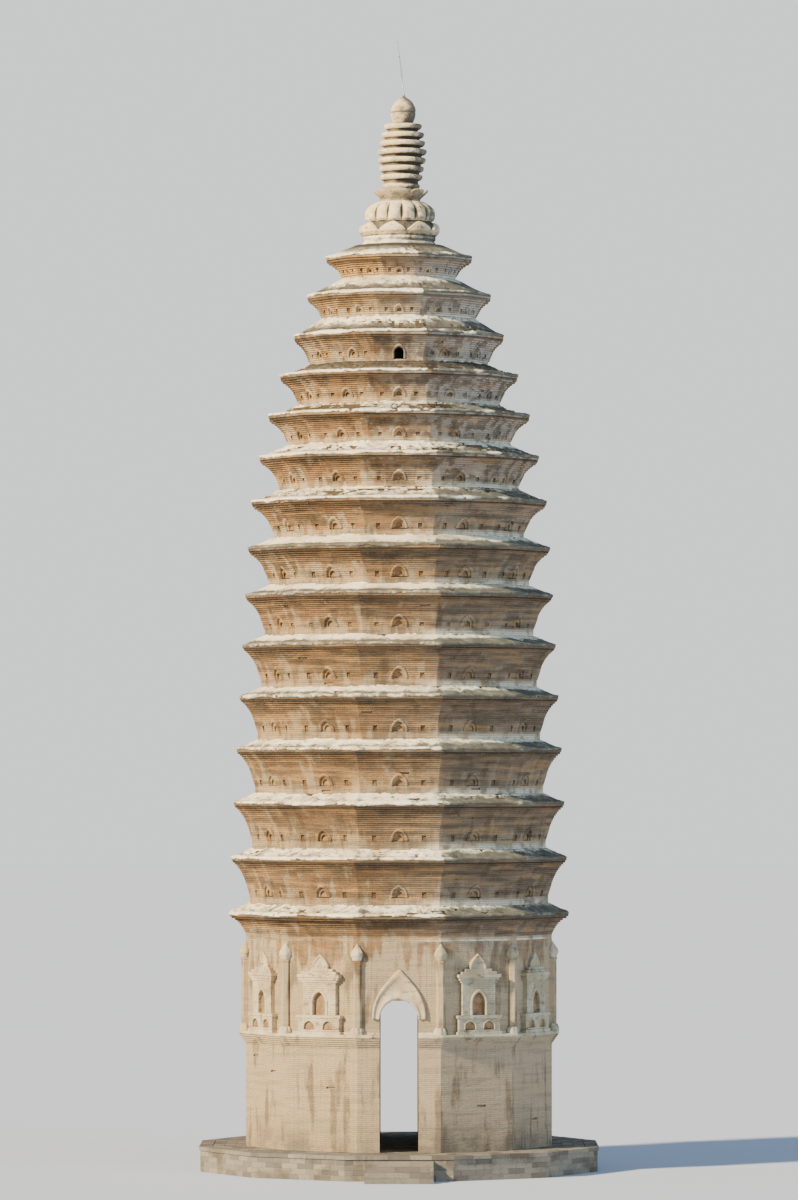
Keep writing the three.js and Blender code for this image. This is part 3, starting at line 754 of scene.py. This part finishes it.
def make_shrine(facet, number):
    """A shrine in the form of a small tower: panelled base, niche, eave, stepped roof and crest."""
    build = Build()
    rows = [slab(facet, s0 + 0.002, s1 - 0.002, WALL + depth, SHRINE_ROOT, LEDGE + z0, LEDGE + z1 - 0.003)
            for half, depth, z0, z1 in SHRINE_SLABS for s0, s1 in pairs(np.linspace(-half, half, 4))]
    boxes(build, rows, wear=0.005, tone=0.6)

    panel = Arch(LEDGE + 0.19, half_width=0.2, spring=0.12, height=0.27, band=0.035, relief=0.02)
    courses_out(build, facet, SHRINE_BASE,
                lambda _, z: [gap for centre in PANELS_AT for gap in panel.gap(z, centre)])
    face = WALL + SHRINE_BASE[1]
    for centre in PANELS_AT:
        panel.place(build, build, facet, lambda _: face, face - 0.06, centre=centre)

    niche = Arch(LEDGE + SHRINE_BODY[2], half_width=0.25, spring=0.44, height=0.78, band=0.085, relief=0.035)
    courses_out(build, facet, SHRINE_BODY, lambda _, z: niche.gap(z))
    niche.place(build, build, facet, lambda _: WALL + SHRINE_BODY[1], WALL + 0.03)

    foot = LEDGE + 2.20
    s, z = flame(0.33, foot, 0.52)
    section = ((1.0, -0.02), (1.0, 0.10), (0.93, 0.13), (0.8, 0.13), (0.7, 0.10), (0.0, 0.11))
    build.sheet([on_facet(facet, s * share, WALL + out, foot + (z - foot) * (0.3 + 0.7 * share))
                 for share, out in section])
    build.piece(f"shrine_{number:02d}_masonry", "old_lime", f"shrine_{number:02d}")


# Platform, steps and floor

PLATFORM_COURSE = 0.18
PLATFORM_STONE = 0.62
SLAB_GAP = 0.004
COPING_HEIGHT = 0.13
COPING_DEPTH = 0.46
COPING_OVERHANG = 0.05
BED_HALF = 5.0
PAVING_ROW = 0.33
PAVING_LENGTH = 0.42
STEP_COUNT = 4
TILE = 0.34


def pave(rows, facet, start, stop, cut=None):
    """Adds slabs across a facet, from one apothem to another, or between two cuts along it."""
    for row, (a0, a1) in enumerate(pairs(steps(start, stop, PAVING_ROW))):
        half = cut or a1 * HALF_TAN
        spans = bond(-half, half, row, PAVING_LENGTH, 0.1)
        for k, (s0, s1) in enumerate(spans):
            s0, s1 = s0 + SLAB_GAP, s1 - SLAB_GAP
            left_in = -a0 * HALF_TAN if not cut and k == 0 else s0
            right_in = a0 * HALF_TAN if not cut and k == len(spans) - 1 else s1
            rows.append((facet, s0, s1, left_in, right_in, a1 - 2 * SLAB_GAP, a0,
                         PLATFORM_TOP - 0.05, PLATFORM_TOP - 0.002 + rng.normal(0, 0.002)))


def make_platform():
    build = Build()
    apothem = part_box("platform")[1][0]
    face, inside = apothem - COPING_OVERHANG, apothem - COPING_DEPTH
    coping = PLATFORM_TOP - COPING_HEIGHT
    wall(build, range(SIDES), steps(0, coping, PLATFORM_COURSE), face, length=PLATFORM_STONE)
    rows = []
    for facet in range(SIDES):
        for m0, m1 in pairs(np.linspace(-1, 1, 6)):
            gap0, gap1 = (SLAB_GAP if m0 > -1 else 0), (SLAB_GAP if m1 < 1 else 0)
            out, back = apothem * HALF_TAN, inside * HALF_TAN
            rows.append((facet, m0 * out + gap0, m1 * out - gap1, m0 * back + gap0, m1 * back - gap1,
                         apothem, inside, coping, PLATFORM_TOP))
        pave(rows, facet, WALL - 0.02, inside - 2 * SLAB_GAP)
        if facet in DOOR_FACETS:
            pave(rows, facet, CHAMBER, WALL - 0.02, DOOR_HALF)
    boxes(build, rows, wear=0.004)

    # A bed of mortar under the paving, inside the brickwork
    bed = PLATFORM_TOP - 0.02
    square = BED_HALF * np.array([[-1, 1, 1, -1], [1, 1, -1, -1]])
    build.add(on_facet(0, *square, bed), [range(4)], kind=MORTAR)
    rings = [ring(face - 0.05, 0), ring(face - 0.05, bed)]
    build.sheet(rings, wrap=True, kind=MORTAR)
    build.add(rings[0], [range(SIDES)[::-1]], kind=MORTAR)
    build.piece("platform_masonry", "paving", "platform")


def make_steps():
    build = Build()
    low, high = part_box("front_steps")
    back, front = -high[1], -low[1]
    tread, rise = (front - back) / STEP_COUNT, high[2] / STEP_COUNT
    rows = []
    for i in range(STEP_COUNT):
        a, z0, z1 = front - i * tread, i * rise, (i + 1) * rise
        behind = back if i == STEP_COUNT - 1 else a - tread - 0.02
        joints = [0, 0.31, 0.66, 1] if i % 2 else [0, 0.45, 0.8, 1]
        marks = low[0] + (high[0] - low[0]) * np.array(joints)
        rows += [slab(0, s0 + 0.003, s1 - 0.003, a, behind, z0, z1) for s0, s1 in pairs(marks)]
        rows += [slab(0, s, s + 0.1, a - 0.004, back, z0, z1 - 0.003) for s in (low[0], high[0] - 0.1)]
    boxes(build, rows, wear=0.006)
    build.piece("front_steps_masonry", "paving", "front_steps")


def make_floor():
    build = Build()
    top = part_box("chamber_floor")[1][2]
    rows = []
    reach = int(CHAMBER / TILE) + 1
    half = TILE / 2 - SLAB_GAP
    for i in range(-reach, reach + 1):
        for j in range(-reach, reach + 1):
            x, y = i * TILE, j * TILE
            if math.hypot(abs(x) + TILE / 2, abs(y) + TILE / 2) > 1.02 * CHAMBER:
                continue
            height = top - 0.001 + rng.normal(0, 0.0015)
            rows.append(slab(0, x - half, x + half, y + half, y - half, top - 0.05, height))
    boxes(build, rows, wear=0.002)
    bed = ring(CHAMBER, top - 0.012)
    build.add(bed, [range(SIDES)], kind=MORTAR)
    build.sheet([ring(CHAMBER, PLATFORM_TOP), bed], wrap=True, tone=0.4)
    build.piece("chamber_floor_paving", "paving", "chamber_floor")


# Finial

LEAN = 0.033
ROD_LEAN = LEAN - math.tan(math.radians(8.5))
PLINTH_TOP, LOTUS_TOP, DRUM_TOP, DISH_TOP, NECK_TOP, RINGS_TOP, JEWEL_TOP = (
    32.15, 32.68, 33.37, 33.80, 34.04, 36.10, 37.05
)
RING_RADII = (0.740, 0.780, 0.835, 0.855, 0.795, 0.745, 0.660)


def carve(name, r, z, columns, shape=None, chips=0.02, grime=0.12, shaded_side=FINIAL_PAINTED_SHADE, finish="warm_lime"):
    build = Build()
    turned(build, (0, 0), r, z, columns, shape, chips, LEAN, grime, shaded_side)
    build.piece(f"{name}_carving", finish, name)


def finial_plinth():
    low = tiers[-1].top
    r = [1.24, 1.26, 1.26, 1.225, 1.215, 1.225, 1.262, 1.262, 1.24, 1.1]
    z = [*(low + np.array([-0.03, 0.01, 0.09, 0.105, 0.15, 0.18, 0.2])),
         PLINTH_TOP - 0.02, PLINTH_TOP, PLINTH_TOP + 0.01]
    grime = [0.6, 0.1, 0, 0.5, 0.6, 0.5, 0.35, 0.35, 0.5, 0.8]
    carve("finial_plinth", r, z, 144, flat_sided(SIDES), 0.03, grime, finish="lime")


def finial_lotus():
    """Eight broad petals in front of eight more, with hollows between their tips that are darkened as
    painted shade.
    """
    height = LOTUS_TOP - PLINTH_TOP
    columns = 400
    across = np.abs(lobe(np.arange(columns) * math.tau / columns, 8, 0.25))
    tip = 0.93 - 0.62 * across**1.5

    def petals(bearing, r, z):
        share = np.clip((z - PLINTH_TOP) / height, 0, 1)
        front = smoothstep(-0.06, 0.06, tip - share)
        bulge = 0.05 * (1 - across**2) + 0.02 * (1 - smoothstep(0.0, 0.12, tip - share))
        behind = smoothstep(-0.09, 0.09, 0.97 - 0.8 * (1 - across) ** 1.2 - share)
        cut = 0.16 - 0.07 * behind
        return r - 0.02 - cut * (1 - front) + bulge * front - 0.03 * across**6, z

    # The rows follow the edges of the petals in front
    t = np.vstack([np.linspace(0, tip, 24, endpoint=False), np.linspace(tip, 1, 16)])
    r = np.interp(t, [0, 0.08, 0.3, 0.55, 0.75, 1.0], [1.2, 1.27, 1.37, 1.385, 1.33, 1.22])
    z = PLINTH_TOP + height * t
    r, z = np.vstack([r, np.full(columns, 1.0)]), np.vstack([z, z[-1]])
    grime = np.interp(np.linspace(0, 1, 40), [0, 0.1, 0.35, 0.6], [0.8, 0.4, 0.3, 0.0])
    carve("finial_lotus", r, z, columns, petals, 0.035, np.append(grime, 0.5), 0.15)


def finial_drum():
    """A melon-shaped drum with fourteen ribs."""
    height = DRUM_TOP - LOTUS_TOP

    def ribs(bearing, r, z):
        share = np.clip((z - LOTUS_TOP) / height, 0, 1)
        across = np.abs(lobe(bearing, 14, 0.38))
        groove = 0.15 * across**2.2 * np.sin(math.pi * np.clip(share * 0.9 + 0.08, 0, 1)) ** 0.5
        return r * 1.025 - groove * (share < 0.97), z

    t = np.linspace(0, 1, 26)
    r = np.interp(t, [0, 0.12, 0.3, 0.5, 0.68, 0.82, 0.9, 1.0],
                  [1.08, 1.17, 1.19, 1.18, 1.13, 1.03, 0.94, 0.82])
    z = np.append(LOTUS_TOP + height * t, DRUM_TOP)
    carve("finial_drum", np.append(r, 0.6), z, 384, ribs, 0.025, 0.3)


def finial_dish():
    """Eight petals that turn up and out."""
    t = [0, 0.1, 0.25, 0.45, 0.65, 0.82, 0.93, 0.98, 0.96, 0.8, 0.62, 0.75, 1.0]
    r = [0.66, 0.68, 0.69, 0.76, 0.84, 0.90, 0.92, 0.90, 0.85, 0.78, 0.70, 0.66, 0.655]
    grime = [0.7, 0.5, 0.75, 0.65, 0.55, 0.4, 0.0, 0.0, 0.3, 0.8, 1.0, 0.9, 0.5]
    opened = np.array([0, 0, 0.1, 0.4, 0.8, 1, 1, 1, 1, 0.8, 0.3, 0, 0])[:, None]

    def petals(bearing, r, z):
        across = np.abs(lobe(bearing, 8))
        bulge = 0.04 * (1 - across**2) - 0.07 * across**4
        return r + bulge * opened, z - 0.12 * across**4 * opened

    z = DRUM_TOP + (DISH_TOP - DRUM_TOP) * np.array(t)
    carve("finial_dish", r, z, 256, petals, 0.01, grime, 0.2, "old_lime")


def finial_rings():
    """Seven rings on a core, over a narrow neck. Each is widest near its top and falls back below."""
    pitch = (RINGS_TOP - NECK_TOP) / len(RING_RADII)
    fall = np.array([0.09, 0.05, 0.022, 0.005, 0.0, 0.012, 0.04])
    shares = np.array([0, 0.28, 0.31, 0.37, 0.46, 0.60, 0.76, 0.87, 0.92])
    r = [0.6, 0.64, 0.64, 0.665, 0.665, 0.64]
    z = list(DISH_TOP + np.array([0, 0, 0.08, 0.1, 0.15, 0.17]))
    grime = [0.8, 0.6, 0.3, 0.15, 0.1, 0.6]
    for i, radius in enumerate(RING_RADII):
        r += [0.8 * radius, 0.8 * radius, *(radius - fall)]
        z += list(NECK_TOP + i * pitch + pitch * shares)
        # The rows in the gap under each ring get the most grime: partly dirt, partly painted shade in the
        # gap
        grime += [1.3, 1.3, 1.1, 0.6, 0.1, 0.0, 0.0, 0.0, 0.1]
    r += [RING_RADII[-1] * 0.6, 0.34]
    z += [RINGS_TOP, RINGS_TOP]
    grime += [0.6, 0.8]
    carve("finial_rings", r, z, 144, None, 0.03, grime, 0.95)


def finial_jewel():
    """A bulb on a neck, drawn out to a tip."""
    profile = np.array([
        (0, 0.32, 1.0), (0.03, 0.34, 0.8), (0.1, 0.37, 0.6), (0.2, 0.405, 0.5), (0.32, 0.425, 0.45),
        (0.38, 0.43, 0.6), (0.4, 0.415, 1.0), (0.43, 0.415, 1.0), (0.45, 0.432, 0.5), (0.53, 0.425, 0.45),
        (0.62, 0.4, 0.45), (0.71, 0.36, 0.45), (0.79, 0.305, 0.45), (0.86, 0.235, 0.5), (0.92, 0.15, 0.6),
        (0.96, 0.09, 0.7), (1.0, 0.05, 0.8), (1.0, 0.0, 0.8),
    ])
    t, r, grime = profile.T
    carve("finial_jewel", r, RINGS_TOP + (JEWEL_TOP - RINGS_TOP) * t, 96, None, 0.015, grime)


def lightning_rod():
    """A jointed rod in its socket, drawn along the solid's own lean."""
    build = Build()
    foot = JEWEL_TOP - 0.01
    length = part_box("lightning_rod")[1][2] - foot
    r = [0.0, 0.04, 0.04, 0.034, 0.03, 0.02]
    z = [0, 0.005, 0.085, 0.095, 0.1, 0.11]
    for joint in (0.35, 0.68):
        r += [0.0175, 0.0175, 0.024, 0.024]
        z += list(joint * length + np.array([-0.03, -0.02, -0.018, 0.018]))
    r += [0.016, 0.014, 0.006, 0.0]
    z += [0.7 * length + 0.03, 0.92 * length, 0.97 * length, length]
    bearing = np.arange(16) * math.tau / 16
    r, z = np.array(r)[:, None], np.array(z)[:, None]
    x = LEAN * (foot - tiers[-1].top) + r * np.sin(bearing) + ROD_LEAN * np.maximum(z - 0.045, 0)
    build.sheet(np.stack([x, -r * np.cos(bearing), foot + z + 0 * x], axis=-1), wrap=True, smooth=True)
    build.piece("lightning_rod_steel", "steel", "lightning_rod")


# Materials


def linear(red, green, blue):
    """A screen colour, from 0 to 255, as the shader's own values."""
    return tuple((c / 255) ** 2.2 for c in (red, green, blue)) + (1.0,)


class Finish:
    """A material in the making, with short names for the nodes that the finishes share."""

    def __init__(self, name, roughness, metallic=0.0, specular=0.25):
        self.material = bpy.data.materials.new(name)
        self.material.use_nodes = True
        self.tree = self.material.node_tree
        self.inputs = self.tree.nodes["Principled BSDF"].inputs
        self.inputs["Roughness"].default_value = roughness
        self.inputs["Metallic"].default_value = metallic
        self.inputs["Specular IOR Level"].default_value = specular
        self.place = self.node("TexCoord", {}, "Object")
        self.base = None

    def feed(self, source, target):
        """Sets an input to a number or a colour, or links a node's output to it."""
        if isinstance(source, (int, float, tuple)):
            target.default_value = source
        else:
            self.tree.links.new(source, target)

    def node(self, kind, inputs, output, **settings):
        made = self.tree.nodes.new("ShaderNode" + kind)
        for name, value in settings.items():
            setattr(made, name, value)
        for name, source in inputs.items():
            self.feed(source, made.inputs[name])
        return made.outputs[output]

    def attribute(self, name):
        return self.node("Attribute", {}, "Fac", attribute_name=name)

    def along(self, axis):
        return self.node("SeparateXYZ", {0: self.place}, axis)

    def noise(self, scale, detail=4.0, stretch=(1, 1, 1), rough=0.55):
        place = self.node("Mapping", {"Vector": self.place, "Scale": stretch}, "Vector")
        inputs = {"Vector": place, "Scale": scale, "Detail": detail, "Roughness": rough}
        return self.node("TexNoise", inputs, "Fac")

    def chain(self, operation, value, *others):
        for other in others:
            value = self.node("Math", {0: value, 1: other}, 0, operation=operation)
        return value

    def plus(self, *terms):
        return self.chain("ADD", *terms)

    def times(self, *factors):
        return self.chain("MULTIPLY", *factors)

    def ramp(self, value, low, high, out_low=0.0, out_high=1.0):
        inputs = {"Value": value, "From Min": low, "From Max": high, "To Min": out_low, "To Max": out_high}
        return self.node("MapRange", inputs, "Result", interpolation_type="SMOOTHSTEP")

    def patches(self, scale, low, high, *share, detail=5.0, stretch=(1, 1, 1)):
        """Soft-edged patches, whose share goes from 0 to 1 or from one given number to another."""
        return self.ramp(self.noise(scale, detail, stretch), low, high, *share)

    def colours(self, value, *stops):
        result = self.node("ValToRGB", {"Fac": value}, "Color")
        elements = result.node.color_ramp.elements
        while len(elements) < len(stops):
            elements.new(0.5)
        for element, (place, colour) in zip(elements, stops):
            element.position = place
            element.color = colour
        return result

    def coat(self, colour, *factors, kind="MIX"):
        """Lays a colour over the base, as strongly as the product of the factors."""
        inputs = {"Factor": self.times(*factors), "A": self.base, "B": colour}
        self.base = self.node("Mix", inputs, "Result", data_type="RGBA", blend_type=kind)

    def done(self, height, strength, distance):
        """Ends the finish with its colour and a bump from the height."""
        self.feed(self.base, self.inputs["Base Color"])
        inputs = {"Height": height, "Strength": strength, "Distance": distance}
        self.feed(self.node("Bump", inputs, "Normal"), self.inputs["Normal"])
        return self.material

    def grained(self, scale, detail, share, distance):
        """Ends the finish with a fine dark grain that also roughens it."""
        grain = self.noise(scale, detail)
        shade = self.colours(grain, (0.3, linear(150, 150, 150)), (0.7, linear(255, 255, 255)))
        self.coat(shade, share, kind="MULTIPLY")
        return self.done(grain, 0.5, distance)


OCHRE = linear(148, 117, 82)
TAN = linear(164, 139, 104)
ORANGE = linear(158, 114, 74)
AMBER = linear(194, 148, 94)
RUSSET = linear(124, 84, 54)
UMBER = linear(81, 67, 52)
GREY = linear(106, 98, 85)
ASH = linear(188, 180, 165)
CREAM = linear(244, 230, 200)
WARM_CREAM = linear(236, 208, 160)
LIME_WASH = linear(198, 176, 140)
SOIL = linear(75, 64, 49)
SOOT_AND_SHADE = linear(53, 46, 38)
DULL = linear(106, 96, 81)
LICHEN = linear(97, 90, 75)
COOL = linear(224, 242, 255)
MORTAR_DARK, MORTAR_PALE = linear(129, 105, 78), linear(169, 143, 109)
NICHE_DARK, NICHE_PALE = linear(118, 93, 68), linear(158, 127, 94)


def brick_finish(name, limed=0.0):
    """Weathered brick: each brick has its own tone, under stains and washed lime, with painted shade under
    the eaves and on the right and painted sunlight high on the left. The rise is 0 at a tier's foot and 1 at
    its eave, and more on its roof. Limed brick has a worn coat of lime, which ends in a ragged edge under
    the first eave."""
    n = Finish(name, 0.9)
    rise, height, across = n.attribute("rise"), n.along("Z"), n.along("X")
    strong = 0.35 if limed else 1.0
    n.base = n.colours(n.attribute("tone"), (0.0, UMBER), (0.08, RUSSET), (0.3, ORANGE),
                       (0.6, OCHRE), (0.92, TAN), (1.0, GREY))
    n.coat(n.colours(n.noise(2.6, 5.0), (0.35, ORANGE), (0.5, OCHRE), (0.65, TAN)), 0.6)
    # Orange patches, with more of them on the left as painted sunlight
    warm = n.plus(n.noise(0.4), n.ramp(across, 2.0, -3.0, -0.02, 0.05))
    n.coat(ORANGE, n.ramp(warm, 0.46, 0.6), n.ramp(rise, 0.2, 0.8, 0.3, 0.65))
    n.coat(UMBER, n.patches(0.85, 0.5, 0.63, stretch=(1, 1, 1.5)), 0.6)
    n.coat(GREY, n.patches(1.9, 0.53, 0.64, stretch=(1, 1, 1.6)), 0.5)

    # Lime washed down the wall
    wash = n.plus(
        n.times(n.noise(1.4, 5.0, (1.8, 1.8, 0.22)), 0.7),
        n.times(n.noise(0.6), 0.3),
        n.ramp(rise, 0.0, 0.7, 0.1, -0.03),
        n.ramp(height, 24.0, 28.5, 0.0, 0.03),
        n.ramp(height, 27.8, 31.0, 0.0, 0.08),
        n.ramp(across, -2.0, -4.0, 0.0, 0.04),
    )
    if limed:
        ragged = n.plus(height, n.times(n.noise(2.2, 4.0, (1, 1, 0.4)), 2.0))
        wash = n.plus(wash, n.ramp(ragged, 9.0, 7.6, 0.0, limed))
    n.coat(LIME_WASH, n.ramp(wash, 0.53, 0.62), 0.75)

    # Darker below; darker low on the right as painted shade; warm and bright high on the left as painted
    # sunlight; greyer and paler on the right, partly weathering and partly a painted shade tint
    n.coat(UMBER, n.ramp(height, 23.5, 18.0, 0.0, 0.0 if limed else 0.32))
    n.coat(UMBER, n.ramp(height, 23.2, 21.6), n.ramp(across, 0.0, 2.4, 0.08, 0.4 * strong))
    n.coat(AMBER, n.ramp(across, 1.2, -0.5), n.ramp(height, 29.0, 30.6, 0.0, 0.8))
    n.coat(ASH, n.ramp(across, -1.2, 2.2), n.ramp(height, 20.0, 28.0, 0.15, 0.85))

    # Dark mottling, runs and bands of single courses
    n.coat(UMBER, n.ramp(across, -2.5, 1.6, 0.4, 0.65), n.ramp(height, 21.5, 24.0),
           n.ramp(height, 28.6, 30.8, 1.0, 0.0), n.patches(2.4, 0.48, 0.57, stretch=(1, 1, 1.4)))
    n.coat(UMBER, n.patches(1.7, 0.52, 0.66, stretch=(1.5, 1.5, 0.3)), 0.6)
    courses = n.noise(1.0, 3.0, (0.5, 0.5, 7.0))
    sheltered = n.ramp(height, 22.0, 24.5, 1.0, 0.5)
    sides = n.ramp(across, -1.0, 3.0, 0.5 * strong, 0.6 * strong)
    n.coat(UMBER, n.ramp(courses, 0.5, 0.62), sides, sheltered)
    n.coat(AMBER, n.ramp(courses, 0.48, 0.38, 0.0, 0.4 * strong))

    # Painted shade under the eave and a darker line of painted shade just under its lip, a pale foot on the
    # right that is partly lime and partly painted light bounced off the roof below, grey near the ground and
    # soil on the roof
    n.coat(SOOT_AND_SHADE, n.ramp(rise, 0.4, 1.0), n.patches(0.9, 0.3, 0.6, 0.1, 0.4, detail=4.0), sheltered)
    n.coat(SOOT_AND_SHADE, n.ramp(rise, 0.91, 0.97, 0.0, 0.8), n.ramp(rise, 1.01, 1.0, 0.1, 1.0))
    if not limed:
        shaded_side = n.ramp(across, 0.4, 1.6, 0.1, 1.0)
        n.coat(CREAM, n.ramp(rise, 0.22, 0.04, 0.0, 0.8), shaded_side, n.patches(2.0, 0.38, 0.55, 0.2, 1.0))
    n.coat(GREY, n.ramp(height, 2.4, 0.8), n.patches(1.1, 0.4, 0.65, 0.2, 0.8, detail=4.0))
    n.coat(SOIL, n.ramp(rise, 1.03, 1.12, 0.0, 0.8))
    return n.grained(38.0, 4.0, 0.45, 0.006)


def two_tone(name, scale, dark_stop, pale_stop, fine, strength, distance):
    """A rough finish of two shades that run into each other."""
    n = Finish(name, 0.95)
    n.base = n.colours(n.noise(scale), dark_stop, pale_stop)
    return n.done(n.noise(fine), strength, distance)


def lime_finish(name, clean, age=0.0):
    """Cream lime plaster with ochre patches, lichen and soot, most where the grime and its painted shade
    are, and tinted cooler on the right as painted shade. With age it turns the colour of the brick."""
    n = Finish(name, 0.88)
    grime = n.attribute("grime")
    fine = n.noise(7.0, 6.0)
    n.base = n.colours(fine, (0.3, linear(212, 184, 142)), (0.5, clean), (0.75, linear(250, 238, 212)))
    n.coat(TAN, n.patches(0.8, 0.48, 0.66), 0.6)
    if age:
        n.coat(TAN, n.patches(1.6, 0.35, 0.65, 0.7 * age, age, stretch=(1, 1, 0.5)))
    # The grime value, dirt with painted shade in it, makes the lichen and soot patches spread
    dirt_and_shade = n.ramp(grime, 0.0, 1.0, -0.08, 0.14)
    lichen = n.plus(n.noise(3.4, 6.0, (1, 1, 1.8), 0.65), dirt_and_shade)
    n.coat(LICHEN, n.ramp(lichen, 0.5, 0.64), 0.7)
    black = n.plus(n.noise(1.3, 6.0, (1.5, 1.5, 0.6), 0.7), dirt_and_shade)
    n.coat(SOOT_AND_SHADE, n.ramp(black, 0.54, 0.68), 0.8)
    # Darker with the grime value: dirt, and painted shade where that value carries it
    n.coat(DULL, n.ramp(grime, 0.45, 0.95, 0.0, 0.75))
    n.coat(SOOT_AND_SHADE, n.ramp(grime, 0.85, 1.15, 0.0, 0.85))
    # Painted shade: a cool tint over the right-hand side, away from the key light
    n.coat(COOL, n.ramp(n.along("X"), 0.3, 1.8, 0.0, 0.75), kind="MULTIPLY")
    return n.done(n.plus(n.times(fine, 0.6), n.times(n.noise(45.0), 0.4)), 0.6, 0.012)


def paving_finish():
    """Grey-brown paving brick and stone, each slab a little apart in tone."""
    n = Finish("paving_stone", 0.88)
    n.base = n.colours(n.attribute("tone"), (0.0, linear(103, 96, 86)), (0.5, linear(129, 120, 107)),
                       (1.0, linear(148, 138, 120)))
    n.coat(UMBER, n.patches(1.2, 0.48, 0.66), 0.5)
    n.coat(LICHEN, n.patches(4.0, 0.55, 0.7), 0.4)
    return n.grained(30.0, 5.0, 0.4, 0.005)


def steel_finish():
    """Dull galvanised steel with darker spangle and streaks."""
    n = Finish("galvanised_steel", 0.5, metallic=0.85)
    spangle = n.colours(n.noise(60.0), (0.35, linear(128, 132, 136)), (0.65, linear(178, 182, 186)))
    n.feed(spangle, n.inputs["Base Color"])
    n.feed(n.patches(25.0, 0.3, 0.7, 0.38, 0.62, detail=4.0), n.inputs["Roughness"])
    return n.material


brick = brick_finish("brick_weathered")
limed_brick = brick_finish("brick_limed", 0.16)
mortar = two_tone("mortar", 3.0, (0.3, MORTAR_DARK), (0.7, MORTAR_PALE),
                  fine=60.0, strength=0.5, distance=0.004)
niche = two_tone("niche_back", 5.0, (0.35, NICHE_DARK), (0.7, NICHE_PALE),
                 fine=40.0, strength=0.4, distance=0.006)
lime = lime_finish("lime_plaster", CREAM)
old_lime = lime_finish("lime_old", CREAM, 0.85)

# The slot and the materials of each finish, in the order of MAIN, MORTAR, TRIM and DARK. The bands
# round the arches on the tiers have lost their plaster, so they are brick
FINISHES = {
    "brick": ("brick", [brick, mortar, brick, niche]),
    "limed": ("limed_brick", [limed_brick, mortar, old_lime, niche]),
    "lime": ("lime", [lime, mortar, brick]),
    "old_lime": ("lime", [old_lime, mortar, old_lime, niche]),
    "warm_lime": ("lime", [lime_finish("lime_warm", WARM_CREAM, 0.15)]),
    "paving": ("paving", [paving_finish(), mortar]),
    "steel": ("steel", [steel_finish()]),
}

for index, tier in enumerate(tiers):
    below = tiers[index - 1].wall if index else tier.wall
    above = tiers[index + 1].wall if index + 1 < TIERS else tier.a[-1]
    make_tier(tier, below, above)
for q, quarter in enumerate(QUARTERS):
    make_lower_wall(q, quarter)
    make_upper_wall(q, quarter)
make_waist_plaster()
for facet, door in zip(DOOR_FACETS, DOORS):
    make_door_arch(facet, door)
shrine_facets = [facet for facet in range(SIDES) if facet not in DOOR_FACETS]
for number, facet in enumerate(shrine_facets, 1):
    make_shrine(facet, number)
make_platform()
make_steps()
make_floor()
finial_plinth()
finial_lotus()
finial_drum()
finial_dish()
finial_rings()
finial_jewel()
lightning_rod()

# Stage, light and camera

CAMERA_HEIGHT = 14.0
CAMERA_DISTANCE = 212.0
AIM_HEIGHT = 19.6
LENS = 184
CLIP_END = 2000
FLOOR_RADIUS = 600.0
FLOOR_GAP = 0.002
FLOOR_COLOUR = linear(193, 199, 212)
SKY_COLOUR = (0.58, 0.76, 1.0, 1.0)
SKY_STRENGTH = 0.55
BACKDROP_COLOUR = (1.10, 1.12, 1.14, 1.0)


def make_stage():
    """The floor, the sky that lights the tower and the paler backdrop that the camera sees."""
    bpy.ops.mesh.primitive_circle_add(vertices=96, radius=FLOOR_RADIUS, fill_type="NGON")
    floor = bpy.context.object
    floor.name = "floor"
    floor.location.z = -FLOOR_GAP
    finish = Finish("pale_floor", 0.9, specular=0.0)
    finish.feed(FLOOR_COLOUR, finish.inputs["Base Color"])
    floor.data.materials.append(finish.material)
    world = bpy.data.worlds.new("studio")
    world.use_nodes = True
    nodes, links = world.node_tree.nodes, world.node_tree.links
    sky = nodes["Background"]
    sky.inputs["Color"].default_value = SKY_COLOUR
    sky.inputs["Strength"].default_value = SKY_STRENGTH
    backdrop = nodes.new("ShaderNodeBackground")
    backdrop.inputs["Color"].default_value = BACKDROP_COLOUR
    mix = nodes.new("ShaderNodeMixShader")
    links.new(nodes.new("ShaderNodeLightPath").outputs["Is Camera Ray"], mix.inputs["Fac"])
    links.new(sky.outputs[0], mix.inputs[1])
    links.new(backdrop.outputs[0], mix.inputs[2])
    links.new(mix.outputs[0], nodes["World Output"].inputs["Surface"])
    bpy.context.scene.world = world


def aimed(name, data, direction, track):
    """Adds a lamp or the camera, turned so that its track axis lies along the direction."""
    made = bpy.data.objects.new(name, data)
    made.rotation_mode = "QUATERNION"
    made.rotation_quaternion = direction.to_track_quat(track, "Y")
    bpy.context.collection.objects.link(made)
    return made


def sun(name, azimuth, elevation, strength, colour, softness):
    """A distant light. Azimuth 0 shines from the camera's side, and -90 from its left."""
    light = bpy.data.lights.new(name, "SUN")
    light.energy = strength
    light.color = colour
    light.angle = math.radians(softness)
    turn, rise = math.radians(azimuth), math.radians(elevation)
    level = math.cos(rise)
    aimed(name, light, Vector((math.sin(turn) * level, -math.cos(turn) * level, math.sin(rise))), "Z")


def make_camera():
    data = bpy.data.cameras.new("camera")
    data.lens = LENS
    data.clip_end = CLIP_END
    place = Vector((0, -CAMERA_DISTANCE, CAMERA_HEIGHT))
    camera = aimed("camera", data, Vector((0, 0, AIM_HEIGHT)) - place, "-Z")
    camera.location = place
    bpy.context.scene.camera = camera


make_stage()
sun("key", azimuth=-54, elevation=27, strength=11.4, colour=(1.0, 0.86, 0.60), softness=4)
sun("fill", azimuth=50, elevation=8, strength=2.3, colour=(0.49, 0.71, 1.0), softness=50)
make_camera()
